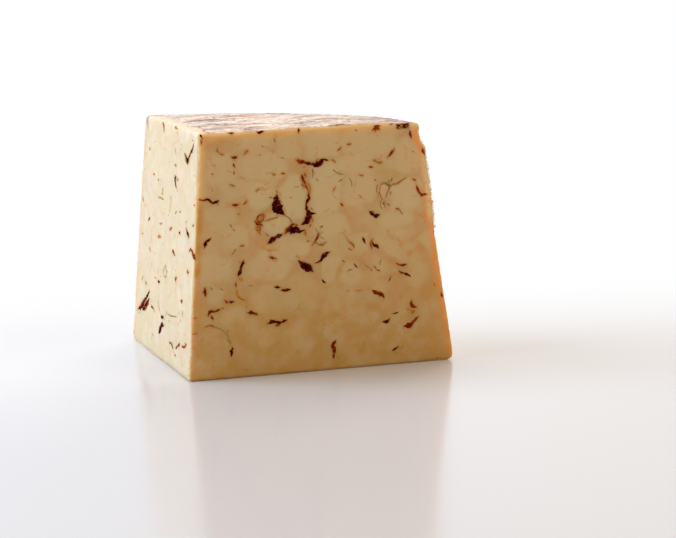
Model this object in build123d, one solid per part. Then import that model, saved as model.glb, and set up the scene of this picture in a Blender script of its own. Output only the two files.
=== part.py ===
from build123d import *
import math
import os

# A quarter of a small cheese wheel, standing on its base. The wheel tapers
# towards its top, its wall swells a little and its top is slightly dished.
# Two knife cuts meet in one upright edge near the wheel's axis. While the
# block is made, the wheel's axis is Z and its base is at height 0; the
# finished block has its origin under the middle of its box. Millimetres.

# The wheel
wheel_height = 100.6        # base to the highest ring of the top
base_radius = 107.5         # where the wall would meet the base
top_radius = 92.0           # where the wall would meet the top
wall_bulge = 0.8            # swell of the wall past a straight taper, halfway up
crown_radius = 68.0         # radius of the highest ring of the top
centre_dish = 0.6           # how far the middle of the top lies below that ring
shoulder_drop = 0.5         # how far the top falls from that ring to its rim
top_rim_round = 4.0
base_rim_round = 2.5

# The knife cuts
cut_angle = 90.0            # angle between the two cuts, in degrees
first_cut_spread = 5.9      # how far the first cut's foot stands out past its top
second_cut_undercut = 5.5   # how far the second cut's foot lies in behind its top
cut_edge_round = 0.7        # soft edge that the knife leaves all round each cut

centre_height = wheel_height - centre_dish


def wheel_section():
    """Half of the wheel's section, right of its axis, in the XZ plane."""
    middle = ((base_radius + top_radius) / 2 + wall_bulge, wheel_height / 2)
    shoulder = (top_radius, wheel_height - shoulder_drop)
    crown = (crown_radius, wheel_height)
    centre = (0, centre_height)
    level = [(-1, 0), (-1, 0)]
    base = Line((0, 0), (base_radius, 0))
    wall = ThreePointArc((base_radius, 0), middle, shoulder)
    outer_top = Spline(shoulder, crown, tangents=level)
    inner_top = Spline(crown, centre, tangents=level)
    axis = Line(centre, (0, 0))
    section = make_face([base, wall, outer_top, inner_top, axis])
    base_corner = section.vertices().sort_by_distance((base_radius, 0))[0]
    section = fillet(base_corner, base_rim_round)
    top_corner = section.vertices().sort_by_distance(shoulder)[0]
    section = fillet(top_corner, top_rim_round)
    return Plane.XZ * section


def cheese_wheel():
    """The whole wheel, round its axis."""
    return revolve(wheel_section(), axis=Axis.Z)


def kept_side(tilt_about_x, tilt_about_y, turn, align):
    """A body far larger than the wheel, bounded by one leaning cut."""
    reach = 4 * base_radius
    body = Box(reach, reach, reach, align=align)
    pivot = Pos(0, 0, centre_height)
    return pivot * Rot(0, 0, turn) * Rot(tilt_about_x, tilt_about_y, 0) * body


def first_cut():
    """What the first cut keeps: the side towards +X of a cut along Y."""
    lean = math.degrees(math.atan2(first_cut_spread, centre_height))
    low_x = (Align.MIN, Align.CENTER, Align.CENTER)
    return kept_side(0, lean, cut_angle - 90, low_x)


def second_cut():
    """What the second cut keeps: the side towards +Y of a cut along X."""
    lean = math.degrees(math.atan2(second_cut_undercut, centre_height))
    low_y = (Align.CENTER, Align.MIN, Align.CENTER)
    return kept_side(lean, 0, 0, low_y)


def softened(block):
    """Round every edge of the two cuts, which are the only steep flat faces."""
    cuts = [
        face
        for face in block.faces().filter_by(GeomType.PLANE)
        if abs(face.normal_at().Z) < 0.5
    ]
    cut_edges = {edge for face in cuts for edge in face.edges()}
    return fillet(ShapeList(cut_edges), cut_edge_round)


def cheese_block():
    """The cut block, moved so that its box stands centred on the origin."""
    block = softened(cheese_wheel() & first_cut() & second_cut())
    middle = block.bounding_box().center()
    lowest = block.bounding_box().min.Z
    return Pos(-middle.X, -middle.Y, -lowest) * block


os.makedirs("parts", exist_ok=True)
export_step(cheese_block(), "parts/cheese_block.step")
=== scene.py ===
"""Looks of a block of marbled cheese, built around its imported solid.

The block is a quarter of a small wheel: two knife cuts, a rind on the top and
on the curved wall, and dried flakes that the cuts have sliced through.
"""

import math
import random
from collections import namedtuple

import bmesh
import bpy
from bpy.props import FloatProperty, FloatVectorProperty, IntProperty, PointerProperty
from mathutils import Matrix, Vector, geometry, kdtree, noise
from mathutils.bvhtree import BVHTree


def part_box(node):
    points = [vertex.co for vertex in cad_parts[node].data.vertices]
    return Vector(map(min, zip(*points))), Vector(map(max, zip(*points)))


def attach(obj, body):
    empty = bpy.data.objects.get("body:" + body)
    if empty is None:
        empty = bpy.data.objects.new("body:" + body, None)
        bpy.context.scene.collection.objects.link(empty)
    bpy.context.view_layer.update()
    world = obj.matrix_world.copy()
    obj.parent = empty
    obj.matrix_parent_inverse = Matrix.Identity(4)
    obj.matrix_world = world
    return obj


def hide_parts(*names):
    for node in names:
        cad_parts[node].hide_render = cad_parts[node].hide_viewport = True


bl_info = {
    "name": "Marbled Cheese Block",
    "version": (1, 0, 0),
    "blender": (4, 5, 0),
    "location": "View3D > Sidebar > Cheese",
    "description": "Makes a cut block of marbled cheese with its rind, flakes and studio",
    "category": "Object",
}

MM = 0.001

# The most crumbs, flakes or specks that a user can ask for.
MOST_SMALL_THINGS = 5000

# The camera's turn away from +Y, its tilt down and its roll, in radians, and its
# place from the top of the knife edge, in metres.
CAMERA_HEADING = math.radians(17.898)
CAMERA_PITCH = 0.1571
CAMERA_ROLL = -0.022
CAMERA_PLACE = Vector((-0.2135, -0.8339, 0.0812))
CAMERA_SENSOR_MM = 36
NEAREST_SHOWN = 0.05

# The soft lamps: place and size in metres, and colour.
LAMPS = {
    "key": ((-0.75, 0.10, 0.55), (0.7, 0.9), (0.68, 0.79, 1.0)),
    "top": ((0.05, 0.35, 0.95), (0.9, 0.7), (1.0, 0.82, 0.75)),
    "fill": ((0.45, -0.75, 0.70), (0.6, 0.6), (0.96, 0.76, 0.43)),
    "back": ((0.60, 0.75, 0.35), (0.8, 0.6), (1.0, 0.96, 0.90)),
}

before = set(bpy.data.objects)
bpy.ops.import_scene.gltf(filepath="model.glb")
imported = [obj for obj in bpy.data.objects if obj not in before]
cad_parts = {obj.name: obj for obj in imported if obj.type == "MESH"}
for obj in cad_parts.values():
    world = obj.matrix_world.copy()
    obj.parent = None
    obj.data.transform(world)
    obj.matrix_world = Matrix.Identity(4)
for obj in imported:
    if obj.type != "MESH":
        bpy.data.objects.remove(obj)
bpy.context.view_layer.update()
BLOCK_NODE = "cheese_block"
LOW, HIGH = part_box(BLOCK_NODE)

# Flakes that the second cut slices, as spines of (distance along the cut from
# the knife edge's top, height, width), in millimetres.
SECOND_CUT_FLAKES = {
    "dark": (
        ((43.6, 85.6, 0.5), (46.0, 85.3, 0.9), (48.5, 85.2, 1.9), (50.3, 86.4, 1.2),
         (51.0, 87.0, 0.6), (52.8, 86.5, 0.3)),
        ((31.3, 74.0, 0.3), (31.2, 71.6, 1.8), (31.5, 69.2, 3.7), (32.8, 67.2, 3.0),
         (34.2, 65.8, 1.0)),
        ((44.4, 67.0, 0.5), (44.6, 65.0, 2.2), (44.0, 63.0, 2.6), (42.6, 61.6, 1.2),
         (41.6, 61.2, 0.3)),
        ((44.6, 65.4, 1.0), (46.0, 65.4, 0.6), (47.6, 65.2, 0.2)),
        ((34.6, 57.8, 0.6), (36.6, 59.4, 2.8), (39.0, 59.0, 2.4), (41.2, 58.6, 0.8),
         (43.0, 58.9, 0.3)),
        ((37.0, 60.4, 0.9), (37.6, 61.6, 0.6), (39.6, 61.2, 0.4)),
        ((44.6, 74.0, 0.6), (44.6, 71.6, 0.9), (43.6, 69.0, 0.6), (43.9, 66.4, 0.9)),
        ((36.5, 61.0, 0.5), (38.5, 61.2, 0.9), (39.8, 60.9, 0.5)),
        ((27.8, 54.6, 1.5), (29.0, 55.6, 2.0), (31.0, 56.6, 1.3), (33.2, 57.5, 0.8)),
        ((17.3, 48.0, 0.6), (16.3, 45.8, 0.7), (15.8, 43.8, 1.2), (15.1, 42.3, 1.7)),
        ((40.3, 46.2, 0.9), (41.8, 44.8, 1.5), (44.0, 43.0, 2.4), (46.0, 41.6, 1.2)),
        ((1.8, 73.4, 0.4), (3.0, 73.7, 0.8), (4.8, 72.1, 0.9), (7.2, 72.9, 0.6)),
        ((1.3, 54.6, 1.0), (1.7, 56.2, 0.9), (3.8, 57.9, 0.6)),
        ((11.9, 12.6, 0.8), (11.8, 11.0, 1.3), (11.6, 9.2, 0.4)),
        ((27.0, 21.6, 1.5), (29.5, 22.2, 1.3), (32.0, 21.6, 0.8), (34.8, 22.3, 1.4)),
        ((33.2, 34.9, 0.8), (34.8, 34.8, 1.7), (36.4, 34.9, 0.9)),
        ((30.4, 36.2, 1.0), (31.4, 36.0, 1.3), (32.2, 35.9, 0.6)),
        ((23.3, 99.6, 0.7), (24.8, 99.1, 1.4), (26.3, 99.7, 0.6)),
        ((41.7, 80.6, 0.8), (42.1, 79.6, 1.3), (42.3, 78.6, 0.5)),
        ((70.3, 82.9, 0.6), (71.0, 82.8, 1.0), (71.7, 82.7, 0.5)),
        ((70.4, 64.8, 0.5), (72.0, 63.2, 0.7), (73.5, 62.7, 1.5), (74.3, 62.9, 0.7)),
        ((87.5, 96.8, 0.5), (87.9, 95.2, 1.0), (88.3, 93.6, 0.4)),
        ((11.2, 31.7, 1.0), (11.9, 31.5, 1.5), (12.6, 31.6, 0.9)),
        ((0.1, 99.8, 1.0), (0.6, 98.9, 1.8), (1.0, 98.2, 1.0)),
        ((81.6, 99.8, 0.4), (82.9, 99.0, 0.7), (84.3, 99.5, 0.4)),
        ((83.2, 98.0, 0.4), (84.6, 98.6, 0.8), (86.2, 98.1, 0.4)),
        ((84.4, 100.0, 0.4), (85.5, 99.2, 0.7), (86.9, 99.6, 0.4)),
        ((85.4, 97.8, 0.3), (86.5, 98.5, 0.6), (87.3, 99.3, 0.3)),
        ((82.0, 98.4, 0.3), (82.9, 97.8, 0.5)),
    ),
    "red": (
        ((39.4, 87.3, 0.5), (41.2, 86.6, 1.1), (43.4, 85.9, 0.9), (46.0, 85.6, 0.5)),
        ((40.2, 88.0, 0.4), (40.8, 86.8, 0.7), (40.4, 85.9, 0.3)),
        ((-1.0, 73.7, 0.9), (0.6, 73.4, 0.5), (2.6, 73.8, 0.7)),
        ((13.2, 89.9, 0.9), (14.1, 89.6, 1.6), (14.8, 89.9, 0.6)),
        ((13.6, 87.2, 0.5), (13.9, 86.2, 0.7)),
        ((8.4, 91.5, 0.5), (9.1, 91.2, 0.8)),
        ((12.0, 99.6, 0.9), (13.0, 99.3, 1.5), (13.7, 99.5, 0.7)),
        ((40.6, 100.0, 1.1), (40.7, 99.2, 1.3), (40.6, 98.4, 0.7)),
        ((33.7, 82.4, 0.6), (34.4, 82.3, 0.7)),
        ((13.0, 70.8, 0.4), (14.4, 70.7, 0.8), (15.4, 70.8, 0.4)),
        ((17.8, 70.9, 0.7), (18.9, 72.1, 0.5)),
        ((23.0, 76.0, 0.6), (23.9, 76.6, 0.5)),
        ((16.3, 54.0, 0.9), (17.2, 54.1, 0.8)),
        ((28.6, 48.6, 2.0), (30.6, 48.0, 0.9)),
        ((13.9, 39.2, 0.7), (13.9, 38.0, 0.9)),
        ((1.1, 37.8, 0.8), (1.2, 36.2, 0.8), (1.2, 34.6, 0.4)),
        ((9.2, 32.4, 0.7), (10.3, 31.4, 0.7)),
        ((18.7, 26.8, 0.6), (20.3, 26.6, 1.0), (22.8, 25.4, 0.5)),
        ((2.2, 26.6, 0.5), (2.9, 28.2, 0.8), (5.2, 28.4, 0.6), (6.8, 29.0, 0.7)),
        ((3.7, 26.2, 0.8), (4.2, 24.9, 0.5)),
        ((57.0, 90.4, 0.5), (58.1, 91.3, 0.6)),
        ((61.3, 92.7, 0.8), (62.1, 92.7, 0.9)),
        ((78.2, 86.5, 0.7), (79.4, 87.8, 0.6), (80.8, 89.3, 0.9)),
        ((71.9, 98.0, 0.8), (73.3, 98.9, 1.3), (74.7, 99.3, 0.7)),
        ((73.6, 99.6, 0.6), (73.3, 98.4, 1.0), (72.9, 97.2, 0.6)),
        ((73.2, 98.8, 0.8), (74.6, 97.9, 0.6)),
        ((23.0, 64.2, 0.5), (23.4, 65.6, 0.3), (24.8, 66.2, 0.4), (25.9, 65.2, 0.3),
         (25.3, 63.8, 0.4), (24.0, 63.2, 0.6), (23.0, 64.0, 0.3)),
        ((22.2, 63.6, 0.6), (23.2, 62.4, 0.8), (24.6, 62.2, 0.5), (25.4, 61.6, 0.3)),
        ((24.2, 63.0, 0.5), (24.6, 61.6, 0.3), (24.2, 60.4, 0.6)),
        ((43.0, 77.2, 0.4), (44.0, 76.0, 0.5), (44.6, 74.4, 0.4)),
        ((41.8, 81.4, 0.5), (42.4, 79.4, 0.8), (43.4, 77.6, 0.5)),
        ((79.4, 99.8, 0.8), (80.3, 100.0, 0.7)),
        ((90.6, 74.2, 0.6), (91.6, 71.6, 0.9), (93.0, 70.5, 0.8), (95.0, 70.4, 0.7)),
        ((89.0, 76.9, 0.6), (90.0, 76.4, 0.7)),
        ((93.0, 89.2, 0.5), (93.6, 87.6, 1.0), (94.2, 86.4, 0.6)),
        ((58.3, 68.6, 0.5), (58.9, 67.8, 0.7)),
        ((82.0, 65.1, 0.7), (82.9, 64.9, 0.5)),
        ((48.8, 57.2, 0.4), (48.1, 55.4, 0.5), (46.6, 53.2, 0.4)),
        ((49.4, 52.4, 0.8), (50.4, 52.2, 0.7)),
        ((30.2, 20.6, 0.5), (31.4, 20.3, 0.9), (32.4, 20.7, 0.4)),
    ),
    "orange": (
        ((42.9, 82.0, 0.5), (43.4, 80.6, 0.8)),
        ((42.0, 77.4, 0.5), (43.3, 76.0, 0.4), (44.4, 75.0, 0.4), (45.2, 73.4, 0.3)),
        ((42.2, 79.0, 0.3), (42.8, 77.4, 0.2), (44.0, 77.8, 0.3)),
        ((22.6, 61.0, 0.5), (23.4, 59.6, 0.6), (24.4, 58.2, 0.4)),
        ((25.4, 66.6, 0.4), (26.6, 65.6, 0.4)),
        ((44.4, 77.6, 0.3), (45.2, 76.2, 0.4), (45.4, 74.8, 0.3)),
        ((22.8, 62.6, 0.7), (24.0, 64.6, 0.6), (26.0, 65.8, 0.5)),
        ((23.2, 62.0, 0.6), (23.7, 60.4, 0.9), (24.2, 58.8, 0.5)),
        ((24.2, 63.4, 0.5), (25.6, 64.0, 0.6)),
        ((26.4, 63.4, 0.3), (29.0, 64.1, 0.4), (31.6, 64.7, 0.3)),
        ((18.0, 90.8, 0.5), (19.2, 92.2, 0.7)),
        ((11.8, 79.0, 0.4), (13.8, 78.4, 0.5)),
        ((15.4, 41.0, 0.6), (16.4, 40.2, 0.6)),
        ((14.3, 35.8, 0.5), (14.1, 34.2, 0.7), (15.6, 32.9, 0.6), (17.8, 31.8, 0.8)),
        ((1.0, 22.2, 0.4), (3.0, 22.7, 0.5), (4.7, 21.9, 0.4)),
        ((72.2, 85.5, 0.5), (73.6, 84.6, 0.6), (75.6, 84.3, 0.5)),
        ((55.0, 74.0, 0.5), (55.7, 75.2, 0.6)),
        ((66.0, 80.0, 0.3), (67.6, 79.4, 0.4)),
        ((79.4, 75.0, 0.3), (82.0, 75.5, 0.3), (84.0, 76.6, 0.3)),
        ((46.0, 63.4, 0.5), (46.2, 62.2, 0.6)),
        ((43.0, 58.4, 0.6), (43.4, 56.8, 0.5)),
        ((-3.9, 26.0, 0.4), (-2.6, 26.2, 0.5)),
        ((-4.2, 19.6, 0.4), (-2.4, 19.9, 0.6)),
        ((0.6, 97.4, 0.7), (0.7, 95.6, 0.5)),
    ),
    "olive": (
        ((7.2, 94.0, 0.3), (6.9, 92.8, 0.5), (8.2, 91.8, 0.3)),
        ((13.6, 84.4, 0.4), (13.9, 83.2, 0.5)),
        ((30.2, 96.6, 0.4), (30.9, 95.2, 0.5)),
        ((25.2, 94.0, 0.3), (25.9, 93.4, 0.3)),
        ((24.1, 90.4, 0.3), (24.8, 90.0, 0.3)),
        ((33.2, 88.6, 0.3), (34.4, 88.4, 0.4)),
        ((29.2, 82.3, 0.3), (30.2, 82.0, 0.5), (31.2, 82.2, 0.3)),
        ((46.3, 83.8, 0.4), (46.6, 81.6, 0.35), (46.4, 79.8, 0.25)),
        ((48.0, 79.2, 0.7), (48.5, 78.6, 0.6)),
        ((43.4, 81.6, 0.7), (43.6, 80.6, 0.5)),
        ((41.8, 77.2, 0.5), (42.4, 76.2, 0.6)),
        ((38.6, 76.4, 0.2), (40.6, 76.6, 0.3)),
        ((31.0, 75.6, 0.4), (31.6, 74.6, 0.4)),
        ((33.8, 66.2, 0.35), (35.2, 65.0, 0.3), (36.6, 63.8, 0.35), (37.6, 62.2, 0.5)),
        ((27.0, 58.2, 0.6), (27.6, 57.6, 0.5)),
        ((12.0, 63.0, 0.5), (12.6, 62.0, 0.6)),
        ((13.2, 61.0, 0.5), (13.8, 60.4, 0.4)),
        ((15.0, 67.2, 0.4), (16.0, 66.6, 0.4)),
        ((4.6, 77.6, 0.4), (5.1, 76.8, 0.4)),
        ((14.2, 53.0, 0.4), (13.2, 51.4, 0.3), (12.4, 50.6, 0.3)),
        ((47.3, 59.4, 0.3), (48.4, 57.0, 0.4), (47.4, 54.4, 0.5), (45.8, 52.0, 0.35)),
        ((47.0, 53.6, 0.4), (49.6, 52.3, 0.4), (52.2, 53.6, 0.3)),
        ((48.6, 56.6, 0.35), (50.8, 54.8, 0.3)),
        ((19.2, 37.8, 0.4), (20.9, 37.2, 0.4)),
        ((3.4, 37.9, 0.5), (4.0, 37.2, 0.5)),
        ((7.7, 37.3, 0.5), (8.4, 36.8, 0.5)),
        ((55.2, 86.0, 0.5), (56.0, 85.4, 0.4)),
        ((55.0, 82.6, 0.25), (57.0, 81.0, 0.3), (59.4, 80.6, 0.3)),
        ((61.8, 79.0, 0.2), (62.6, 77.2, 0.3), (63.0, 75.2, 0.2)),
        ((66.0, 71.6, 0.4), (67.0, 70.6, 0.4)),
        ((79.8, 75.0, 0.3), (82.2, 75.4, 0.4), (84.2, 76.5, 0.5), (86.4, 77.8, 0.3)),
        ((78.0, 67.4, 0.5), (78.9, 66.8, 0.5)),
        ((82.0, 65.4, 0.5), (83.4, 64.2, 0.3), (84.6, 62.6, 0.25)),
        ((75.2, 75.2, 0.5), (76.6, 75.9, 0.6), (78.2, 75.4, 0.9), (79.4, 74.4, 0.6)),
        ((79.2, 74.8, 0.4), (78.6, 73.0, 0.7), (77.8, 71.6, 0.4), (77.2, 70.2, 0.5)),
        ((75.4, 75.0, 0.4), (74.7, 73.6, 0.8), (75.0, 71.6, 0.4), (75.9, 69.6, 0.6)),
        ((74.0, 75.0, 0.5), (73.4, 73.6, 0.4), (73.9, 72.0, 0.3)),
        ((75.9, 69.4, 0.5), (75.2, 67.4, 0.4), (75.6, 65.4, 0.3)),
        ((77.0, 69.0, 0.3), (76.8, 67.0, 0.3), (77.2, 65.6, 0.2)),
        ((9.8, 18.6, 0.3), (10.8, 16.4, 0.35), (11.4, 14.2, 0.4)),
        ((5.0, 21.8, 0.4), (7.6, 20.6, 0.3), (9.6, 18.4, 0.3)),
        ((17.4, 2.8, 0.5), (18.2, 3.2, 0.4)),
        ((64.4, 98.4, 0.5), (65.0, 97.8, 0.4)),
        ((88.6, 88.4, 0.4), (89.4, 87.9, 0.5)),
    ),
}

# Pale curds that show in the second cut: distance along, height, half width,
# half height, in millimetres, and how pale each one is.
SECOND_CUT_CURDS = (
    (8.5, 85.5, 6.5, 6.0, 0.75), (22.5, 94.5, 6.5, 4.0, 0.65),
    (26.0, 85.5, 10.0, 5.0, 0.80), (36.0, 93.0, 5.0, 4.5, 0.60),
    (25.0, 73.5, 5.0, 5.5, 0.90), (38.5, 72.0, 5.0, 9.0, 1.00),
    (31.8, 61.5, 5.6, 4.6, 0.95), (52.0, 75.0, 6.5, 10.5, 0.95),
    (50.5, 93.0, 8.0, 5.5, 0.75), (64.0, 93.5, 5.5, 4.5, 0.70),
    (74.0, 91.5, 7.5, 5.0, 0.75), (86.0, 87.0, 6.0, 7.0, 0.75),
    (85.5, 70.5, 6.5, 6.5, 1.00), (64.5, 84.5, 8.5, 4.5, 0.80),
    (66.5, 74.0, 6.5, 6.5, 0.75), (54.5, 58.5, 7.0, 5.5, 0.70),
    (82.0, 61.0, 8.0, 3.5, 0.75), (5.5, 45.5, 7.0, 5.0, 0.95),
    (28.0, 45.0, 8.0, 5.5, 0.85), (8.0, 66.0, 6.5, 3.5, 0.55),
    (6.0, 34.0, 4.0, 3.8, 0.70), (12.5, 25.0, 4.5, 5.0, 0.75),
    (14.5, 57.5, 5.0, 4.5, 0.65), (38.0, 51.0, 6.5, 3.5, 0.70),
    (15.0, 78.0, 7.5, 3.0, 0.60), (27.0, 31.0, 7.0, 6.0, 0.60),
    (41.5, 32.0, 6.5, 7.5, 0.60), (24.0, 12.0, 7.0, 6.0, 0.60),
    (6.5, 10.0, 5.0, 6.0, 0.60), (40.0, 13.0, 6.5, 7.5, 0.65),
)

# Torn holes in the second cut: distance along, height, half width, half height
# and depth, in millimetres.
SECOND_CUT_VOIDS = (
    (76.4, 72.8, 1.7, 3.0, 0.8),
    (78.4, 74.2, 1.1, 1.0, 0.5),
    (74.2, 74.0, 0.6, 1.4, 0.4),
    (75.9, 67.2, 0.5, 1.6, 0.4),
)

# Flakes that the first cut slices, the same way: its distances run back from
# the knife edge's top.
FIRST_CUT_FLAKES = {
    "dark": (
        ((7.2, 95.2, 1.4), (9.0, 93.0, 1.2), (12.0, 91.2, 0.8), (14.4, 89.6, 0.9),
         (17.4, 88.0, 1.8), (20.0, 89.2, 1.1), (22.0, 90.0, 0.6)),
        ((35.0, 79.2, 1.0), (37.0, 78.0, 1.7), (36.0, 76.0, 1.2), (34.6, 75.2, 0.7)),
        ((60.0, 99.4, 0.9), (58.4, 98.6, 1.5), (57.4, 96.2, 1.0)),
        ((58.6, 11.0, 0.8), (56.0, 13.2, 2.2), (53.6, 14.9, 1.7), (50.0, 15.6, 0.9)),
        ((96.0, 15.2, 0.7), (90.0, 17.6, 1.5), (86.0, 20.4, 1.9), (82.0, 22.8, 1.3),
         (78.0, 25.6, 0.6)),
        ((90.0, 15.8, 0.5), (85.0, 18.0, 1.5), (80.6, 20.6, 1.7), (77.6, 22.6, 0.7)),
        ((55.0, 18.4, 0.8), (52.6, 18.8, 1.5), (50.6, 19.0, 0.7)),
        ((16.8, 60.4, 0.9), (14.6, 59.0, 1.2), (12.4, 57.6, 0.9)),
        ((62.6, 32.4, 0.6), (60.6, 32.6, 1.3), (59.2, 32.6, 0.8)),
        ((82.4, 56.0, 1.0), (80.6, 56.8, 1.8)),
        ((22.6, 29.9, 0.6), (20.2, 30.6, 0.9)),
        ((28.6, 57.2, 1.1), (27.4, 57.5, 1.0)),
        ((25.0, 11.2, 0.7), (22.4, 12.7, 1.1)),
        ((39.4, 10.0, 0.8), (37.0, 10.2, 1.0), (33.4, 8.8, 0.6)),
        ((109.0, 5.0, 0.8), (107.0, 3.6, 2.0), (105.6, 3.0, 0.9)),
    ),
    "red": (
        ((99.0, 14.6, 0.6), (94.0, 16.4, 1.3), (89.0, 19.4, 1.4), (84.0, 21.8, 0.8)),
        ((86.0, 16.0, 0.5), (82.0, 18.4, 1.0), (78.6, 20.4, 0.6)),
        ((11.6, 52.0, 0.8), (9.0, 52.9, 1.0), (6.4, 52.2, 1.1), (4.2, 51.2, 1.6),
         (2.4, 49.8, 0.6)),
        ((13.4, 43.4, 1.6), (12.0, 43.2, 2.2)),
        ((32.6, 37.2, 0.8), (31.4, 38.2, 1.5), (30.2, 38.4, 0.8)),
        ((29.0, 9.6, 0.6), (26.0, 11.0, 0.8)),
        ((18.6, 12.4, 0.5), (15.0, 12.6, 0.7), (11.2, 14.5, 0.4)),
        ((30.2, 6.4, 0.7), (29.0, 6.7, 0.6)),
        ((37.4, 84.2, 0.9), (35.8, 84.0, 1.2)),
        ((74.0, 19.6, 0.4), (71.2, 19.8, 0.7), (68.6, 19.4, 0.4)),
        ((39.0, 48.4, 0.8), (37.2, 48.4, 1.0), (34.2, 47.2, 0.6)),
        ((5.6, 71.2, 0.6), (3.8, 71.4, 0.5)),
    ),
    "orange": (
        ((45.0, 56.4, 0.6), (42.6, 57.2, 1.0), (40.6, 57.7, 0.6)),
        ((34.0, 78.0, 0.5), (31.4, 78.7, 0.6)),
        ((84.0, 86.2, 0.7), (81.8, 86.8, 0.7)),
        ((64.4, 51.2, 0.6), (62.0, 51.5, 0.8), (59.0, 51.6, 0.5)),
        ((76.0, 76.3, 0.4), (73.4, 76.7, 0.5)),
        ((67.4, 74.8, 0.4), (65.6, 75.2, 0.6)),
        ((60.0, 69.7, 0.4), (57.6, 70.1, 0.4)),
        ((44.2, 69.2, 0.7), (43.2, 70.2, 0.6)),
        ((86.0, 28.6, 0.5), (83.4, 28.1, 0.7)),
        ((51.0, 36.6, 0.4), (48.4, 36.0, 0.8)),
        ((68.4, 33.2, 0.5), (66.8, 33.0, 0.5)),
        ((94.6, 48.6, 0.5), (92.2, 48.9, 0.5)),
    ),
    "olive": (
        ((39.6, 99.4, 0.7), (36.8, 99.2, 0.9), (34.6, 99.0, 0.4)),
        ((13.0, 91.4, 0.5), (14.2, 88.4, 0.6), (17.6, 86.4, 0.5), (20.4, 87.6, 0.6),
         (22.2, 90.0, 0.5)),
        ((64.6, 75.4, 0.6), (66.6, 74.6, 0.6)),
        ((57.4, 72.4, 0.6), (58.2, 70.8, 0.7)),
        ((56.0, 67.6, 0.5), (61.2, 67.9, 0.5), (66.0, 67.6, 0.4)),
        ((43.4, 68.2, 0.5), (44.8, 66.0, 0.4), (45.4, 63.8, 0.4)),
        ((34.2, 65.2, 0.6), (36.4, 64.2, 0.5)),
        ((27.4, 66.2, 0.8), (29.2, 65.6, 0.7)),
        ((4.6, 63.4, 0.7), (7.4, 62.6, 0.9)),
        ((58.2, 57.4, 0.6), (62.6, 56.8, 0.6)),
        ((17.6, 60.8, 0.7), (16.0, 58.6, 0.8), (13.6, 56.8, 0.7)),
        ((94.6, 64.4, 0.7), (91.8, 62.8, 0.6)),
        ((60.4, 51.6, 0.5), (64.2, 50.8, 0.5)),
        ((52.4, 37.6, 0.4), (49.6, 40.8, 0.5), (47.2, 36.4, 0.4)),
        ((33.6, 38.4, 0.6), (31.6, 36.6, 0.8)),
        ((22.8, 30.2, 0.8), (20.6, 29.6, 0.9)),
        ((90.6, 30.4, 0.5), (92.8, 28.6, 0.5)),
        ((20.0, 26.6, 0.5), (19.0, 24.8, 0.6)),
        ((44.0, 21.4, 0.3), (36.0, 21.8, 0.4), (28.6, 22.8, 0.3)),
        ((73.6, 20.6, 0.4), (66.8, 18.4, 0.4)),
        ((61.6, 24.4, 0.4), (58.8, 21.6, 0.5), (56.4, 19.8, 0.4)),
        ((71.6, 8.6, 0.4), (68.2, 7.8, 0.4)),
        ((80.4, 44.6, 0.5), (77.6, 42.8, 0.5)),
        ((36.0, 88.6, 0.4), (38.2, 90.8, 0.4)),
    ),
}


def colour_setting(name, default, description):
    """A colour that a user can change."""
    return FloatVectorProperty(
        name=name, description=description, default=default, subtype="COLOR", min=0, max=1
    )


def length_setting(name, default, description):
    """A length in metres that a user can change."""
    return FloatProperty(
        name=name, description=description, default=default, unit="LENGTH", precision=5
    )


def power_setting(name, default, description):
    """The power of a lamp in watts."""
    return FloatProperty(name=name, description=description, default=default, unit="POWER")


def count_setting(name, default, description):
    """A number of small things that a user can change."""
    return IntProperty(
        name=name, description=description, default=default, min=0, max=MOST_SMALL_THINGS
    )


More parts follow.
